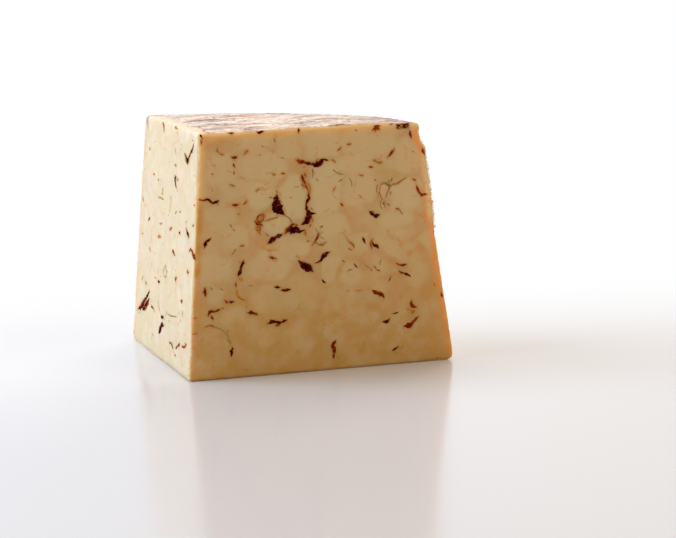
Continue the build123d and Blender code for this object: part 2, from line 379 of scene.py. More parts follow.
class CheeseBlockSettings(bpy.types.PropertyGroup):
    """Sizes and colours of the cheese itself."""

    grain: length_setting(
        "Mesh grain", (0.80) * MM,
        "Spacing of the fine mesh that carries the cut and rind relief",
    )
    curd_size: length_setting(
        "Curd size", 11.5 * MM,
        "Distance between the middles of neighbouring curd pieces",
    )
    cut_waviness: length_setting(
        "Cut waviness", 0.28 * MM,
        "How far the knife wandered from a flat cut",
    )
    rind_waviness: length_setting(
        "Rind unevenness", 0.22 * MM,
        "Height of the lumps on the top and the wall",
    )
    crumb_count: count_setting("Crumbs", 560, "Number of crumbs on the rind's cut edges")
    paste_colour: colour_setting(
        "Paste", (0.765, 0.638, 0.402),
        "Colour of most curd pieces",
    )
    pale_paste_colour: colour_setting(
        "Pale paste", (0.800, 0.695, 0.490),
        "Colour of the palest curd pieces",
    )
    seam_colour: colour_setting(
        "Seam", (0.735, 0.525, 0.285),
        "Warm colour where curd pieces meet",
    )
    hairline_colour: colour_setting(
        "Hairline", (0.780, 0.370, 0.100),
        "Colour of the thin dark seams",
    )
    stain_colour: colour_setting(
        "Stain", (0.760, 0.400, 0.130),
        "Colour that the flakes bleed into the cheese",
    )
    deep_stain_colour: colour_setting(
        "Deep stain", (0.520, 0.200, 0.045),
        "Red-brown colour right beside a flake",
    )
    speck_colour: colour_setting(
        "Herb speck", (0.170, 0.120, 0.040),
        "Colour of the tiny green-brown specks",
    )
    # Partly painted light: the pale lining is real, but pushed paler to make up for the
    # shade inside the holes.
    void_lining_and_light_colour: colour_setting(
        "Torn hole", (0.990, 0.680, 0.470),
        "Pale rough lining of the torn holes",
    )
    # Gold and amber are largely painted light: gold is the dried zone by the top rind with
    # painted glow, and painted glow along the knife edge; amber is painted glow along the
    # knife edge and painted shade with warm bounce toward the second cut's foot.
    gold_colour: colour_setting(
        "Gold", (0.940, 0.760, 0.370),
        "Yellow of the paste beside the top rind and along the knife edge",
    )
    amber_colour: colour_setting(
        "Amber", (0.660, 0.420, 0.100),
        "Deeper gold of the second cut's knife edge and foot",
    )
    # Partly painted glow: the orange of the dried zone along the wall's edge is pushed
    # brighter than a dried zone, to stand in for light that comes through the edge from
    # behind.
    under_rind_glow_colour: colour_setting(
        "Under the rind", (0.980, 0.520, 0.170),
        "Golden colour of the dried zone under the rind",
    )
    rind_colour: colour_setting("Rind", (0.740, 0.520, 0.310), "Colour of the rind")
    pale_rind_colour: colour_setting(
        "Pale rind", (0.800, 0.640, 0.450),
        "Colour of the rind's paler blotches",
    )
    top_rind_colour: colour_setting(
        "Top rind", (0.540, 0.410, 0.320),
        "Pinker colour of the top of the rind",
    )
    rind_film_colour: colour_setting(
        "Rind bloom", (0.900, 0.770, 0.640),
        "Pale dry film on the rind",
    )
    bloom_colour: colour_setting(
        "Edge bloom", (0.960, 0.880, 0.700),
        "Pale yellow film along the cut edge of the wall",
    )
    # Partly painted glow: a real crumb's cream, pushed bright and warm for light through
    # the backlit edge.
    crumb_glow_colour: colour_setting(
        "Crumb", (0.990, 0.820, 0.480),
        "Warm cream of the crumbs on the cut edges",
    )
    # Darkens a band along the far rim of the top and the smudge where the second cut meets
    # the top.
    rim_smudge_colour: colour_setting(
        "Rind crease", (0.190, 0.130, 0.110),
        "Brown-grey colour down in the rind's creases",
    )
    streak_colour: colour_setting(
        "Streak", (0.170, 0.085, 0.055),
        "Brown of the streaks on the top rind",
    )


class CheeseFlakeSettings(bpy.types.PropertyGroup):
    """Colours and number of the dried flakes in the cheese."""

    fringe_colour: colour_setting(
        "Flake fringe", (0.600, 0.240, 0.055),
        "Orange-brown colour at the very edge of the flakes",
    )
    dark_colour: colour_setting(
        "Dark flake", (0.040, 0.002, 0.002),
        "Colour of the large dark flakes",
    )
    dark_rim_colour: colour_setting(
        "Dark flake rim", (0.230, 0.016, 0.005),
        "Colour round the rim of the dark flakes",
    )
    red_colour: colour_setting(
        "Red flake", (0.160, 0.013, 0.003),
        "Colour of the red-brown flakes",
    )
    red_rim_colour: colour_setting(
        "Red flake rim", (0.370, 0.062, 0.009),
        "Colour round the rim of the red flakes",
    )
    # The sheen colours are painted highlights: the flakes have no specular, so their
    # catches of light are painted in.
    dark_sheen_colour: colour_setting(
        "Dark flake sheen", (0.250, 0.085, 0.080),
        "Purple-brown of the folds in the dark flakes",
    )
    red_sheen_colour: colour_setting(
        "Red flake sheen", (0.560, 0.110, 0.030),
        "Bright red of the folds in the red flakes",
    )
    orange_sheen_colour: colour_setting(
        "Orange shred sheen", (0.950, 0.640, 0.180),
        "Yellow of the folds in the orange shreds",
    )
    orange_colour: colour_setting(
        "Orange shred", (0.420, 0.105, 0.012),
        "Colour of the thin orange shreds",
    )
    orange_rim_colour: colour_setting(
        "Orange shred rim", (0.660, 0.265, 0.048),
        "Colour round the rim of the orange shreds",
    )
    olive_colour: colour_setting(
        "Olive hair", (0.430, 0.240, 0.070),
        "Colour of the faint olive-brown hairlines",
    )
    olive_rim_colour: colour_setting(
        "Olive hair rim", (0.570, 0.370, 0.140),
        "Colour round the faint hairlines",
    )
    loose_count: count_setting(
        "Scattered flakes", 380,
        "Flakes scattered over the parts that no list places",
    )
    speck_count: count_setting("Specks", 420, "Tiny specks scattered over the whole block")


class CheeseStageSettings(bpy.types.PropertyGroup):
    """The studio round the block."""

    lens: FloatProperty(
        name="Lens",
        description="Focal length of the camera",
        default=117.16,
        subtype="DISTANCE_CAMERA",
    )
    key_power: power_setting(
        "Key light", 12.0,
        "Power of the soft light beside the first cut",
    )
    top_power: power_setting("Top light", 4.2, "Power of the soft light over the block")
    fill_power: power_setting(
        "Fill light", 4.4,
        "Power of the warm light that the second cut faces",
    )
    back_power: power_setting("Back light", 6.0, "Power of the soft light behind the block")
    room_strength: FloatProperty(
        name="Room light",
        description="How much soft light comes from all round",
        default=0.06,
    )
    room_colour: colour_setting(
        "Room tint", (1.0, 0.90, 0.78),
        "Colour of the soft light from all round",
    )
    floor_colour: colour_setting("Floor", (0.72, 0.72, 0.72), "Colour of the floor")
    bounce_colour: colour_setting(
        "Floor bounce", (0.62, 0.46, 0.28),
        "Colour in which the floor throws light back up",
    )
    floor_roughness: FloatProperty(
        name="Floor roughness",
        description="How blurred the block's reflection in the floor is",
        default=0.16,
        min=0,
        max=1,
    )
    fade_start: length_setting(
        "Fade start", -0.06,
        "Distance behind the middle at which the floor starts to fade to white",
    )
    fade_end: length_setting(
        "Fade end", 0.18,
        "Distance behind the middle from which the floor is plain white",
    )
    floor_half_side: length_setting("Floor reach", 6.0, "Half the side of the floor")


# Meshes


def collection():
    """The scene's own collection, which holds every piece."""
    return bpy.context.scene.collection


def new_object(name, mesh):
    """A mesh as an object in the scene, at the origin."""
    piece = bpy.data.objects.new(name, mesh)
    collection().objects.link(piece)
    return piece


def finished_mesh(piece):
    """The mesh of a piece with its modifiers applied."""
    graph = bpy.context.evaluated_depsgraph_get()
    graph.update()
    return bpy.data.meshes.new_from_object(piece.evaluated_get(graph))


DOUBLES_APART = 1e-6
SAME_PLANE = math.radians(0.2)


def merged_solid():
    """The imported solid's mesh with its doubled corners merged, as a bmesh."""
    solid = bmesh.new()
    solid.from_mesh(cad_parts[BLOCK_NODE].data)
    bmesh.ops.remove_doubles(solid, verts=solid.verts, dist=DOUBLES_APART)
    return solid


def knife_cuts(solid):
    """The planes of the two cuts as (point, normal), the one facing -X first."""
    flat = solid.copy()
    bmesh.ops.dissolve_limit(
        flat, angle_limit=SAME_PLANE, verts=flat.verts, edges=flat.edges
    )
    steep = [face for face in flat.faces if abs(face.normal.z) < 0.5]
    largest = sorted(steep, key=lambda face: face.calc_area())[-2:]
    largest.sort(key=lambda face: face.normal.x)
    planes = [(face.calc_center_median(), face.normal.copy()) for face in largest]
    flat.free()
    return planes


SOLID = merged_solid()
FIRST_CUT, SECOND_CUT = knife_cuts(SOLID)
CENTRE_DISH = 0.6 * MM

KNIFE_LINE = geometry.intersect_plane_plane(*FIRST_CUT, *SECOND_CUT)
KNIFE_TOP = geometry.intersect_line_plane(
    KNIFE_LINE[0],
    KNIFE_LINE[0] + KNIFE_LINE[1],
    Vector((0, 0, HIGH.z - CENTRE_DISH)),
    Vector((0, 0, 1)),
)


# Flakes and curds are listed for the second cut apart from its far lower corner.
CORNER_START = 50 * MM
CORNER_TOP = 56 * MM


def below_cut(point, cut):
    """How far a point lies inside the block from a cut's plane."""
    return -geometry.distance_point_to_plane(point, *cut)


def from_knife(point):
    """How far a point of the second cut lies from the knife edge, in metres."""
    return point.x - KNIFE_TOP.x


def in_far_corner(point):
    """Whether a point lies in the part of the second cut that no list covers."""
    return from_knife(point) > CORNER_START and point.z < CORNER_TOP


def rind_tree(solid):
    """A search tree of the faces that are rind: all that lie away from the cuts."""
    margin = 1.0 * MM
    rind = solid.copy()
    cut_faces = [
        face
        for face in rind.faces
        if max(below_cut(vert.co, FIRST_CUT) for vert in face.verts) < margin
        or max(below_cut(vert.co, SECOND_CUT) for vert in face.verts) < margin
    ]
    bmesh.ops.delete(rind, geom=cut_faces, context="FACES")
    tree = BVHTree.FromBMesh(rind)
    rind.free()
    return tree


def smooth_step(low, high, value):
    """Smooth change from 0 to 1 as a value goes from low to high."""
    share = min(max((value - low) / (high - low), 0.0), 1.0)
    return share * share * (3 - 2 * share)


def ripple(point, wavelength, offset=0.0):
    """Smooth noise of about plus or minus one."""
    shift = Vector((offset, 1.7 * offset, -offset))
    return 1.6 * noise.noise(point / wavelength + shift)


def pit_depth(point, spacing, share, offset):
    """Depth from 0 to 1 of scattered pits, with one in share of the cells."""
    shift = Vector((offset, offset, offset))
    distances, middles = noise.voronoi(point / spacing + shift)
    chance = noise.cell(middles[0] * 5.1 + shift)
    if chance % 1.0 > share:
        return 0.0
    radius = 0.16 + 0.12 * ((chance * 7.7) % 1.0)
    ragged = distances[0] * (1 + 0.5 * noise.noise(point / (0.2 * spacing)))
    return 1.0 - smooth_step(0.4 * radius, radius, ragged)


# Depths of the marks in a cut: its fine grain, hair cracks, large and small pits,
# and how far its edges crumble.
CUT_GRAIN = 0.05 * MM
CUT_CRACK = 0.14 * MM
LARGE_PIT = 0.55 * MM
SMALL_PIT = 0.30 * MM
EDGE_CRUMBLE = 0.35 * MM

# The same for the rind.
RIND_GRAIN = 0.07 * MM
RIND_CREASE = 0.22 * MM
RIND_PIT = 0.40 * MM


def cut_relief(point, to_edge, settings):
    """How far a cut's surface stands out at a point, in metres."""
    wave = settings.cut_waviness
    height = wave * (0.8 * ripple(point, 38 * MM) + 0.35 * ripple(point, 12 * MM, 4.0))
    height += CUT_GRAIN * ripple(point, 2.6 * MM, 9.0)
    crack = abs(ripple(point, 15 * MM, 17.0))
    height -= CUT_CRACK * (1 - smooth_step(0.0, 0.07, crack))
    height -= LARGE_PIT * pit_depth(point, 7.5 * MM, 0.16, 2.0)
    height -= SMALL_PIT * pit_depth(point, 3.4 * MM, 0.10, 6.0)
    crumbling = smooth_step(0.0, 0.8, ripple(point, 2.4 * MM, 13.0))
    height -= EDGE_CRUMBLE * crumbling * (1 - smooth_step(0.2 * MM, 1.5 * MM, to_edge))
    return height


def void_depth(point):
    """How deep and how pale a listed hole in the second cut is at a point."""
    along, up = from_knife(point), point.z
    deepest, rim = 0.0, 0.0
    for middle, height, half_width, half_height, depth in SECOND_CUT_VOIDS:
        across = (along - middle * MM) / (half_width * MM)
        upward = (up - height * MM) / (half_height * MM)
        ragged = 1 + 0.35 * noise.noise(point / (1.6 * MM))
        reach = math.hypot(across, upward) * ragged
        deepest = max(deepest, depth * MM * (1 - smooth_step(0.55, 1.0, reach)))
        rim = max(rim, 1 - smooth_step(0.95, 1.25, reach))
    return deepest, rim


# How pale the second cut is between its listed curds, on their scale, and how far
# their outlines wander, in millimetres.
BETWEEN_CURDS = 0.12
CURD_WANDER = 1.3


def listed_curd(point):
    """Paleness of the listed curd that a point of the second cut lies in."""
    along = from_knife(point) / MM + CURD_WANDER * ripple(point, 6 * MM, 31.0)
    up = point.z / MM + CURD_WANDER * ripple(point, 6 * MM, 37.0)
    palest = BETWEEN_CURDS
    for middle, height, half_width, half_height, pale in SECOND_CUT_CURDS:
        across, above = abs(along - middle) / half_width, abs(up - height) / half_height
        if max(across, above) < 1.3:
            reach = (across**3 + above**3) ** (1 / 3)
            palest = max(palest, pale * (1 - smooth_step(0.75, 1.28, reach)))
    return palest


def random_curd(point, size):
    """Paleness of the curd that any other point of the cheese lies in."""
    wander = Vector((ripple(point, 9 * MM, 41.0), ripple(point, 9 * MM, 43.0),
                     ripple(point, 9 * MM, 47.0)))
    distances, middles = noise.voronoi(point / size + wander * 0.16)
    chance = noise.cell(middles[0] * 3.7) % 1.0
    to_seam = (distances[1] - distances[0]) * size / MM
    return smooth_step(0.2, 4.5, to_seam) * (0.35 + 0.65 * chance)


def wheel_radius(point):
    """How far a point lies from the wheel's axis, in metres."""
    return math.hypot(point.x - KNIFE_TOP.x, point.y - KNIFE_TOP.y)


def rind_relief(point, settings):
    """How far the rind stands out at a point, in metres."""
    lump = settings.rind_waviness
    height = lump * (0.7 * ripple(point, 24 * MM, 3.0) + 0.4 * ripple(point, 8 * MM, 5.0))
    height += RIND_GRAIN * ripple(point, 2.2 * MM, 7.0)
    crease = abs(ripple(point * Vector((0.5, 1, 0.7)), 15 * MM, 21.0))
    height -= RIND_CREASE * (1 - smooth_step(0.0, 0.08, crease))
    height -= RIND_PIT * pit_depth(point, 6.0 * MM, 0.16, 11.0)
    return height


# How far the wall stands out beside the second cut, as (height, distance) in
# millimetres.
WALL_PROFILE = (
    (0, 0.0), (8, 0.0), (30, -0.8), (54, -1.2), (60, -0.9), (66, -0.4), (76, -0.1),
    (86, 0.2), (90, -0.1), (92.5, -1.0), (96.5, -1.0), (98.5, 0.0), (101, 1.4),
)


def wall_swell(point):
    """How far the wall stands out or in beside the second cut, in metres."""
    height = point.z / MM
    for (low, start), (high, end) in zip(WALL_PROFILE, WALL_PROFILE[1:]):
        if height <= high:
            break
    swell = start + (end - start) * (height - low) / (high - low)
    along_wall = below_cut(point, SECOND_CUT)
    return swell * MM * (1 - smooth_step(4 * MM, 45 * MM, along_wall))


# How strongly the paste has dried to gold beside each kind of rind. Partly a real
# dried zone, partly painted glow of light through the edges, so the first cut,
# which faces the key light, gets little.
WALL_DRYING_AND_GLOW = 1.0
TOP_DRYING_AND_GLOW = 0.55
FIRST_CUT_DRYING_AND_GLOW = 0.25

# Heights in millimetres over which the tint of the knife edge changes from amber
# to gold, over which the amber deepens, and down which the foot turns amber, and
# how strong the foot's tint is. Along the knife edge the tint is painted glow, for
# light that bleeds round from the lit first cut; toward the foot it is painted
# shade with warm bounce light.
AMBER_TO_GOLD = (69, 75)
AMBER_DEEPENS = (40, 47)
PAINTED_SHADE_HEIGHTS = (62, 8)
FOOT_PAINTED_SHADE = 0.58

# The smudge where the second cut meets the top: from and to along the cut in
# millimetres, and its lowest height.
SMUDGE_ALONG = (81.6, 87.6)
SMUDGE_FOOT = 97.7 * MM

# Heights between which bloom and crumbs line the wall's edge beside the second
# cut: where they start, where the bloom is full and fades, and where they end.
BLOOM_START = 56 * MM
BLOOM_FULL = 64 * MM
BLOOM_FADE = 84 * MM
BLOOM_GONE = 90 * MM
CRUMBS_END = 93 * MM

# How much of its own range a random curd keeps in the first cut, and from where:
# painted light, as the cut that faces the key light shows flatter curds.
FIRST_CUT_CURDS = (0.42, 0.50)

VERTEX_LAYERS = ("rind_depth", "pale", "drying", "rim", "top", "knife_edge", "curd",
                 "amber", "bloom")


class Spot:
    """Where a point of the fine mesh lies: how far from the cuts and the rind."""

    def __init__(self, point, rind):
        self.point = point
        self.from_first = below_cut(point, FIRST_CUT)
        self.from_second = below_cut(point, SECOND_CUT)
        _, self.rind_normal, _, self.to_rind = rind.find_nearest(point)
        self.nearest_cut = min(self.from_first, self.from_second)
        self.on_wall = 1 - abs(self.rind_normal.z)
        self.on_top = max(self.rind_normal.z, 0.0)

    def by_first(self):
        """Whether the first cut is the nearer one."""
        return self.from_first < self.from_second

    def by_second(self):
        """Whether the second cut is the nearer one."""
        return self.from_second < self.from_first


def drying(spot):
    """How far the paste has dried to gold under the nearest rind, with painted glow of
    light through the edge.
    """
    dried = WALL_DRYING_AND_GLOW * spot.on_wall + TOP_DRYING_AND_GLOW * spot.on_top
    if spot.by_first():
        dried *= FIRST_CUT_DRYING_AND_GLOW
    return dried


def knife_glow_and_foot_shade(spot):
    """How gold and how amber the second cut is at a point: painted glow along the knife
    edge, painted shade with warm bounce toward the foot.
    """
    height = spot.point.z / MM
    near_knife = 1 - smooth_step(0.4 * MM, 4.5 * MM, spot.from_first)
    gold = near_knife * smooth_step(*AMBER_TO_GOLD, height)
    near_knife *= smooth_step(*reversed(AMBER_TO_GOLD), height) * (
        0.6 + 0.5 * smooth_step(*AMBER_DEEPENS, height)
    )
    return gold, max(near_knife, FOOT_PAINTED_SHADE * smooth_step(*PAINTED_SHADE_HEIGHTS, height))


def scraped_share(spot):
    """How far the top rind is scraped off beside the first cut."""
    point = spot.point
    ragged = spot.from_first + 2.5 * MM * ripple(point, 9 * MM)
    ragged += MM * ripple(point, 3 * MM)
    return spot.on_top * (1 - smooth_step(2 * MM, 5 * MM, ragged))


def edge_bloom(spot):
    """How much pale bloom lines the wall's edge at a point of the second cut."""
    height = spot.point.z
    film = smooth_step(BLOOM_START, BLOOM_FULL, height)
    film *= smooth_step(BLOOM_GONE, BLOOM_FADE, height) * spot.on_wall
    return film * smooth_step(3.8 * MM, 1.2 * MM, spot.to_rind)


def in_smudge(point):
    """Whether a point of the second cut lies in its dark smudge by the top."""
    low, high = SMUDGE_ALONG
    return low < from_knife(point) / MM < high and point.z > SMUDGE_FOOT


def tint(vert, spot, layers, settings):
    """Store what the material reads at a vertex: rind, drying, curds and edges."""
    vert[layers["rind_depth"]] = spot.to_rind / MM
    vert[layers["drying"]] = drying(spot)
    if spot.by_second():
        # Painted glow along the knife edge and painted shade toward the foot.
        vert[layers["knife_edge"]], vert[layers["amber"]] = knife_glow_and_foot_shade(spot)
    vert[layers["top"]] = smooth_step(0.3, 0.9, spot.on_top)
    if spot.from_second < 1.2 * MM and not in_far_corner(spot.point):
        vert[layers["curd"]] = listed_curd(spot.point)
    else:
        vert[layers["curd"]] = random_curd(spot.point, settings.curd_size)
        # Painted light: flatter curds on the lit first cut.
        if spot.from_first < 2 * MM:
            lowest, kept = FIRST_CUT_CURDS
            vert[layers["curd"]] = lowest + kept * vert[layers["curd"]]
    rim_band = smooth_step(84.5 * MM, 88 * MM, wheel_radius(spot.point))
    vert[layers["rim"]] = rim_band * smooth_step(0.1, 0.5, spot.on_top)
    scraped = scraped_share(spot)
    peeled = 2.0 * scraped * smooth_step(0.0, 1.5 * MM, spot.from_first)
    vert[layers["rind_depth"]] += peeled
    vert[layers["drying"]] *= 1 - 0.8 * scraped


def relief(vert, spot, layers, settings):
    """How far a vertex moves along its normal, with the hole and edge tints."""
    point = spot.point
    if spot.nearest_cut >= spot.to_rind:
        height = rind_relief(point, settings)
        return height * smooth_step(-0.2 * MM, 2.0 * MM, spot.nearest_cut)
    to_edge = min(max(spot.from_first, spot.from_second), spot.to_rind)
    height = cut_relief(point, to_edge, settings)
    height *= smooth_step(-0.2 * MM, 1.5 * MM, spot.to_rind)
    if spot.by_second():
        hole, vert[layers["pale"]] = void_depth(point)
        height -= hole
        vert[layers["rim"]] = 1.0 if in_smudge(point) else 0.0
        vert[layers["bloom"]] = edge_bloom(spot)
    return height


def shape_block(mesh, rind, settings):
    """Give the fine mesh its relief and the attributes that its material reads."""
    fine = bmesh.new()
    fine.from_mesh(mesh)
    layers = {name: fine.verts.layers.float.new(name) for name in VERTEX_LAYERS}
    fine.normal_update()
    moves = []
    for vert in fine.verts:
        spot = Spot(vert.co, rind)
        tint(vert, spot, layers, settings)
        height = relief(vert, spot, layers, settings)
        underneath = vert.normal.z < -0.5
        grounded = 0.0 if underneath else smooth_step(0.0, 1.2 * MM, vert.co.z)
        outward = Vector((spot.rind_normal.x, spot.rind_normal.y, 0))
        near_wall = 1 - smooth_step(0.0, 30 * MM, spot.to_rind)
        swell = outward * near_wall * wall_swell(vert.co)
        moves.append(vert.normal * height * grounded + swell)
    for vert, move in zip(fine.verts, moves):
        vert.co += move
    fine.to_mesh(mesh)
    fine.free()


def make_block(settings):
    """The whole cheese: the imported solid, remeshed finely and given its relief."""
    coarse = bpy.data.meshes.new("coarse")
    SOLID.to_mesh(coarse)
    shaper = new_object("shaper", coarse)
    remesh = shaper.modifiers.new("remesh", "REMESH")
    remesh.mode = "VOXEL"
    remesh.voxel_size = settings.grain
    mesh = finished_mesh(shaper)
    bpy.data.objects.remove(shaper)
    shape_block(mesh, rind_tree(SOLID), settings)
    mesh.name = "cheese"
    for polygon in mesh.polygons:
        polygon.use_smooth = True
    return new_object("cheese", mesh)


# Flakes

# A kind of flake: how far it stands above the cut, how ragged it is, the reach and
# strength of its stain, how much its listed widths are stretched, and the fringe
# added to them.
FlakeKind = namedtuple("FlakeKind", "thickness rough reach strength stretch fringe")
FLAKE_KINDS = {
    "dark": FlakeKind(0.10 * MM, 0.55, 1.5 * MM, 0.55, 1.15, 0.16 * MM),
    "red": FlakeKind(0.08 * MM, 0.60, 1.9 * MM, 0.55, 1.15, 0.15 * MM),
    "orange": FlakeKind(0.05 * MM, 0.60, 2.0 * MM, 0.55, 1.15, 0.12 * MM),
    "olive": FlakeKind(0.02 * MM, 0.45, 1.2 * MM, 0.15, 1.35, 0.05 * MM),
}
FLAKE_ORDER = tuple(FLAKE_KINDS)

# Shares of the kinds, in that order, among scattered flakes and among specks.
SCATTERED_SHARES = (0.22, 0.34, 0.26, 0.18)
SPECK_SHARES = (0.2, 0.3, 0.25, 0.25)

# How far in from its edge, in millimetres, a flake reaches its inner colour.
RIM_ENDS = {"dark": 0.42, "red": 0.60, "orange": 0.60, "olive": 0.40}

# Spacing of the rows of listed, scattered and broken-off flakes.
LISTED_STEP = 0.4 * MM
SCATTERED_STEP = 0.6 * MM
SMALL_STEP = 0.5 * MM

# Small bits and specks: how far they stand up, and how ragged they are.
SMALL_THICKNESS = 0.03 * MM
SMALL_ROUGHNESS = 0.3

# Flakes wider than this get two more columns. Every flake's skin lies a lift above
# the cheese, and its body goes down by a depth.
WIDE_FLAKE = 1.4 * MM
FLAKE_LIFT = 0.03 * MM
FLAKE_DEPTH = 0.5 * MM

# Spacing of the bends in a flake's outline, and the height under which none is
# scattered.
KNOT_SPACING = 1.2 * MM
NO_FLAKES_BELOW = 0.3 * MM

# How wide a random flake is along its length, in parts of its width.
SHORT_SWELL = (0.6, 1.0, 0.5)
LONG_SWELL = (0.45, 1.0, 0.8, 0.4)


class Surface:
    """The finished cheese surface, for seating flakes on it and staining it."""

    def __init__(self, cheese):
        self.mesh = cheese.data
        graph = bmesh.new()
        graph.from_mesh(self.mesh)
        graph.normal_update()
        self.tree = BVHTree.FromBMesh(graph)
        graph.free()
        self.near = kdtree.KDTree(len(self.mesh.vertices))
        for vertex in self.mesh.vertices:
            self.near.insert(vertex.co, vertex.index)
        self.near.balance()
        self.stain = [0.0] * len(self.mesh.vertices)

    def nearest(self, point):
        """The nearest point of the cheese, and its normal there."""
        place, normal, _, _ = self.tree.find_nearest(point)
        return place, normal

    def bleed(self, spine, reach, strength):
        """Stain the cheese round a flake's spine."""
        for point, width in spine:
            for _, index, distance in self.near.find_range(point, 0.5 * width + reach):
                outside = max(distance - 0.5 * width, 0.0)
                share = strength * (1 - outside / reach) ** 1.5
                self.stain[index] = max(self.stain[index], share)

    def store_stain(self):
        """Keep the stain on the mesh, for its material to read."""
        layer = self.mesh.attributes.new("stain", "FLOAT", "POINT")
        layer.data.foreach_set("value", self.stain)


def on_second_cut(surface, along, height):
    """The point of the second cut at a listed place, in millimetres."""
    start = Vector((KNIFE_TOP.x + along * MM, 0, height * MM))
    ahead = start + Vector((0, 1, 0))
    return surface.nearest(geometry.intersect_line_plane(start, ahead, *SECOND_CUT))[0]


def on_first_cut(surface, along, height):
    """The point of the first cut at a listed place, in millimetres."""
    start = Vector((0, KNIFE_TOP.y + along * MM, height * MM))
    ahead = start + Vector((1, 0, 0))
    return surface.nearest(geometry.intersect_line_plane(start, ahead, *FIRST_CUT))[0]


def resampled(spine, step):
    """A spine of (point, width) with extra points on a smooth line through it."""
    if len(spine) < 2:
        return spine
    fine = []
    last = len(spine) - 1
    for index in range(last):
        before = spine[max(index - 1, 0)][0]
        start, start_width = spine[index]
        end, end_width = spine[index + 1]
        after = spine[min(index + 2, last)][0]
        pieces = max(1, round((end - start).length / step))
        for piece in range(pieces):
            share = piece / pieces
            tangent_in = (end - before) * 0.5
            tangent_out = (after - start) * 0.5
            square, cube = share * share, share**3
            point = (
                start * (2 * cube - 3 * square + 1)
                + tangent_in * (cube - 2 * square + share)
                + end * (3 * square - 2 * cube)
                + tangent_out * (cube - square)
            )
            fine.append((point, start_width + (end_width - start_width) * share))
    fine.append(spine[-1])
    return fine


def side_widths(line, rough, rng):
    """Ragged half widths of a flake along one of its sides, tapering to its ends."""
    knots = [rng.uniform(-1, 1) for _ in range(len(line) + 2)]
    reached = [0.0]
    for (before, _), (point, _) in zip(line, line[1:]):
        reached.append(reached[-1] + (point - before).length)
    widths = []
    for travelled, (_, width) in zip(reached, line):
        place = min(travelled / KNOT_SPACING, len(line))
        knot = int(place)
        bend = knots[knot] + (knots[knot + 1] - knots[knot]) * (place - knot)
        rugged = rough * min(1.0, 1.9 * MM / width)
        share = 1 + rugged * (1.1 * bend + rng.uniform(-0.35, 0.35))
        if rng.random() < 0.08:
            share += rng.uniform(0.5, 1.6) * rugged
        to_end = min(travelled, reached[-1] - travelled)
        share *= 0.40 + 0.60 * min(to_end / (0.8 * width), 1.0)
        widths.append(0.5 * width * max(share, 0.2))
    return widths


def add_flake(flakes, surface, spine, step, thickness, rough, rng):
    """One flake: a ragged strip seated on the cheese, with a body sunk into it."""
    core = flakes.verts.layers.float.get("core") or flakes.verts.layers.float.new("core")
    line = resampled(spine, step)
    rows = len(line)
    columns = 5 if max(width for _, width in line) > WIDE_FLAKE else 3
    made = bmesh.ops.create_grid(
        flakes, x_segments=rows - 1, y_segments=columns - 1, size=0.5
    )
    verts = sorted(made["verts"], key=lambda vert: (round(vert.co.x, 4), vert.co.y))
    middle_normal = surface.nearest(line[rows // 2][0])[1]
    left = side_widths(line, rough, rng)
    right = side_widths(line, rough, rng)
    for row in range(rows):
        point, width = line[row]
        ahead = line[min(row + 1, rows - 1)][0] - line[max(row - 1, 0)][0]
        side = middle_normal.cross(ahead).normalized()
        along = ahead.normalized()
        is_end = row in (0, rows - 1)
        for column in range(columns):
            vert = verts[row * columns + column]
            across = 2 * column / (columns - 1) - 1
            outer = abs(across) > 0.99
            half = right[row] if across > 0 else left[row]
            if is_end:
                half *= 0.12
            place = point + side * half * across
            if is_end:
                place += along * (0.7 if row else -0.7) * min(width, 1.2 * MM)
            elif not outer:
                place += along * rng.uniform(-0.15, 0.15) * width
            seat, normal = surface.nearest(place)
            raised = 0.0 if outer or is_end else rng.uniform(0.3, 1.0)
            vert.co = seat + normal * (FLAKE_LIFT + thickness * raised)
            vert[core] = 0.0 if is_end else half * (1 - abs(across)) / MM
    faces = list(dict.fromkeys(face for vert in verts for face in vert.link_faces))
    bmesh.ops.recalc_face_normals(flakes, faces=faces)
    if faces[0].normal.dot(middle_normal) < 0:
        bmesh.ops.reverse_faces(flakes, faces=faces)
    sunk = bmesh.ops.extrude_face_region(flakes, geom=faces, use_keep_orig=True)
    sunk_verts = [part for part in sunk["geom"] if isinstance(part, bmesh.types.BMVert)]
    bmesh.ops.translate(flakes, vec=-middle_normal * FLAKE_DEPTH, verts=sunk_verts)
    sunk_faces = [part for part in sunk["geom"] if isinstance(part, bmesh.types.BMFace)]
    bmesh.ops.reverse_faces(flakes, faces=sunk_faces)
    return line


def add_satellites(meshes, surface, line, rng):
    """Small bits that broke off a long flake, near its ends."""
    length = sum((b[0] - a[0]).length for a, b in zip(line, line[1:]))
    for _ in range(int(length / (4.5 * MM))):
        point = line[0][0] if rng.random() < 0.5 else line[-1][0]
        if rng.random() < 0.4:
            point = rng.choice(line)[0]
        normal = surface.nearest(point)[1]
        way = normal.orthogonal().normalized()
        way.rotate(Matrix.Rotation(rng.uniform(0, math.tau), 3, normal))
        start = point + way * rng.uniform(0.8, 2.4) * MM
        way.rotate(Matrix.Rotation(rng.uniform(-1, 1), 3, normal))
        end = start + way * rng.uniform(0.5, 1.3) * MM
        spine = [
            (surface.nearest(start)[0], rng.uniform(0.4, 0.8) * MM),
            (surface.nearest(end)[0], rng.uniform(0.4, 0.7) * MM),
        ]
        flakes = meshes[rng.choice(("red", "orange", "orange"))]
        add_flake(flakes, surface, spine, SMALL_STEP, SMALL_THICKNESS, SMALL_ROUGHNESS, rng)


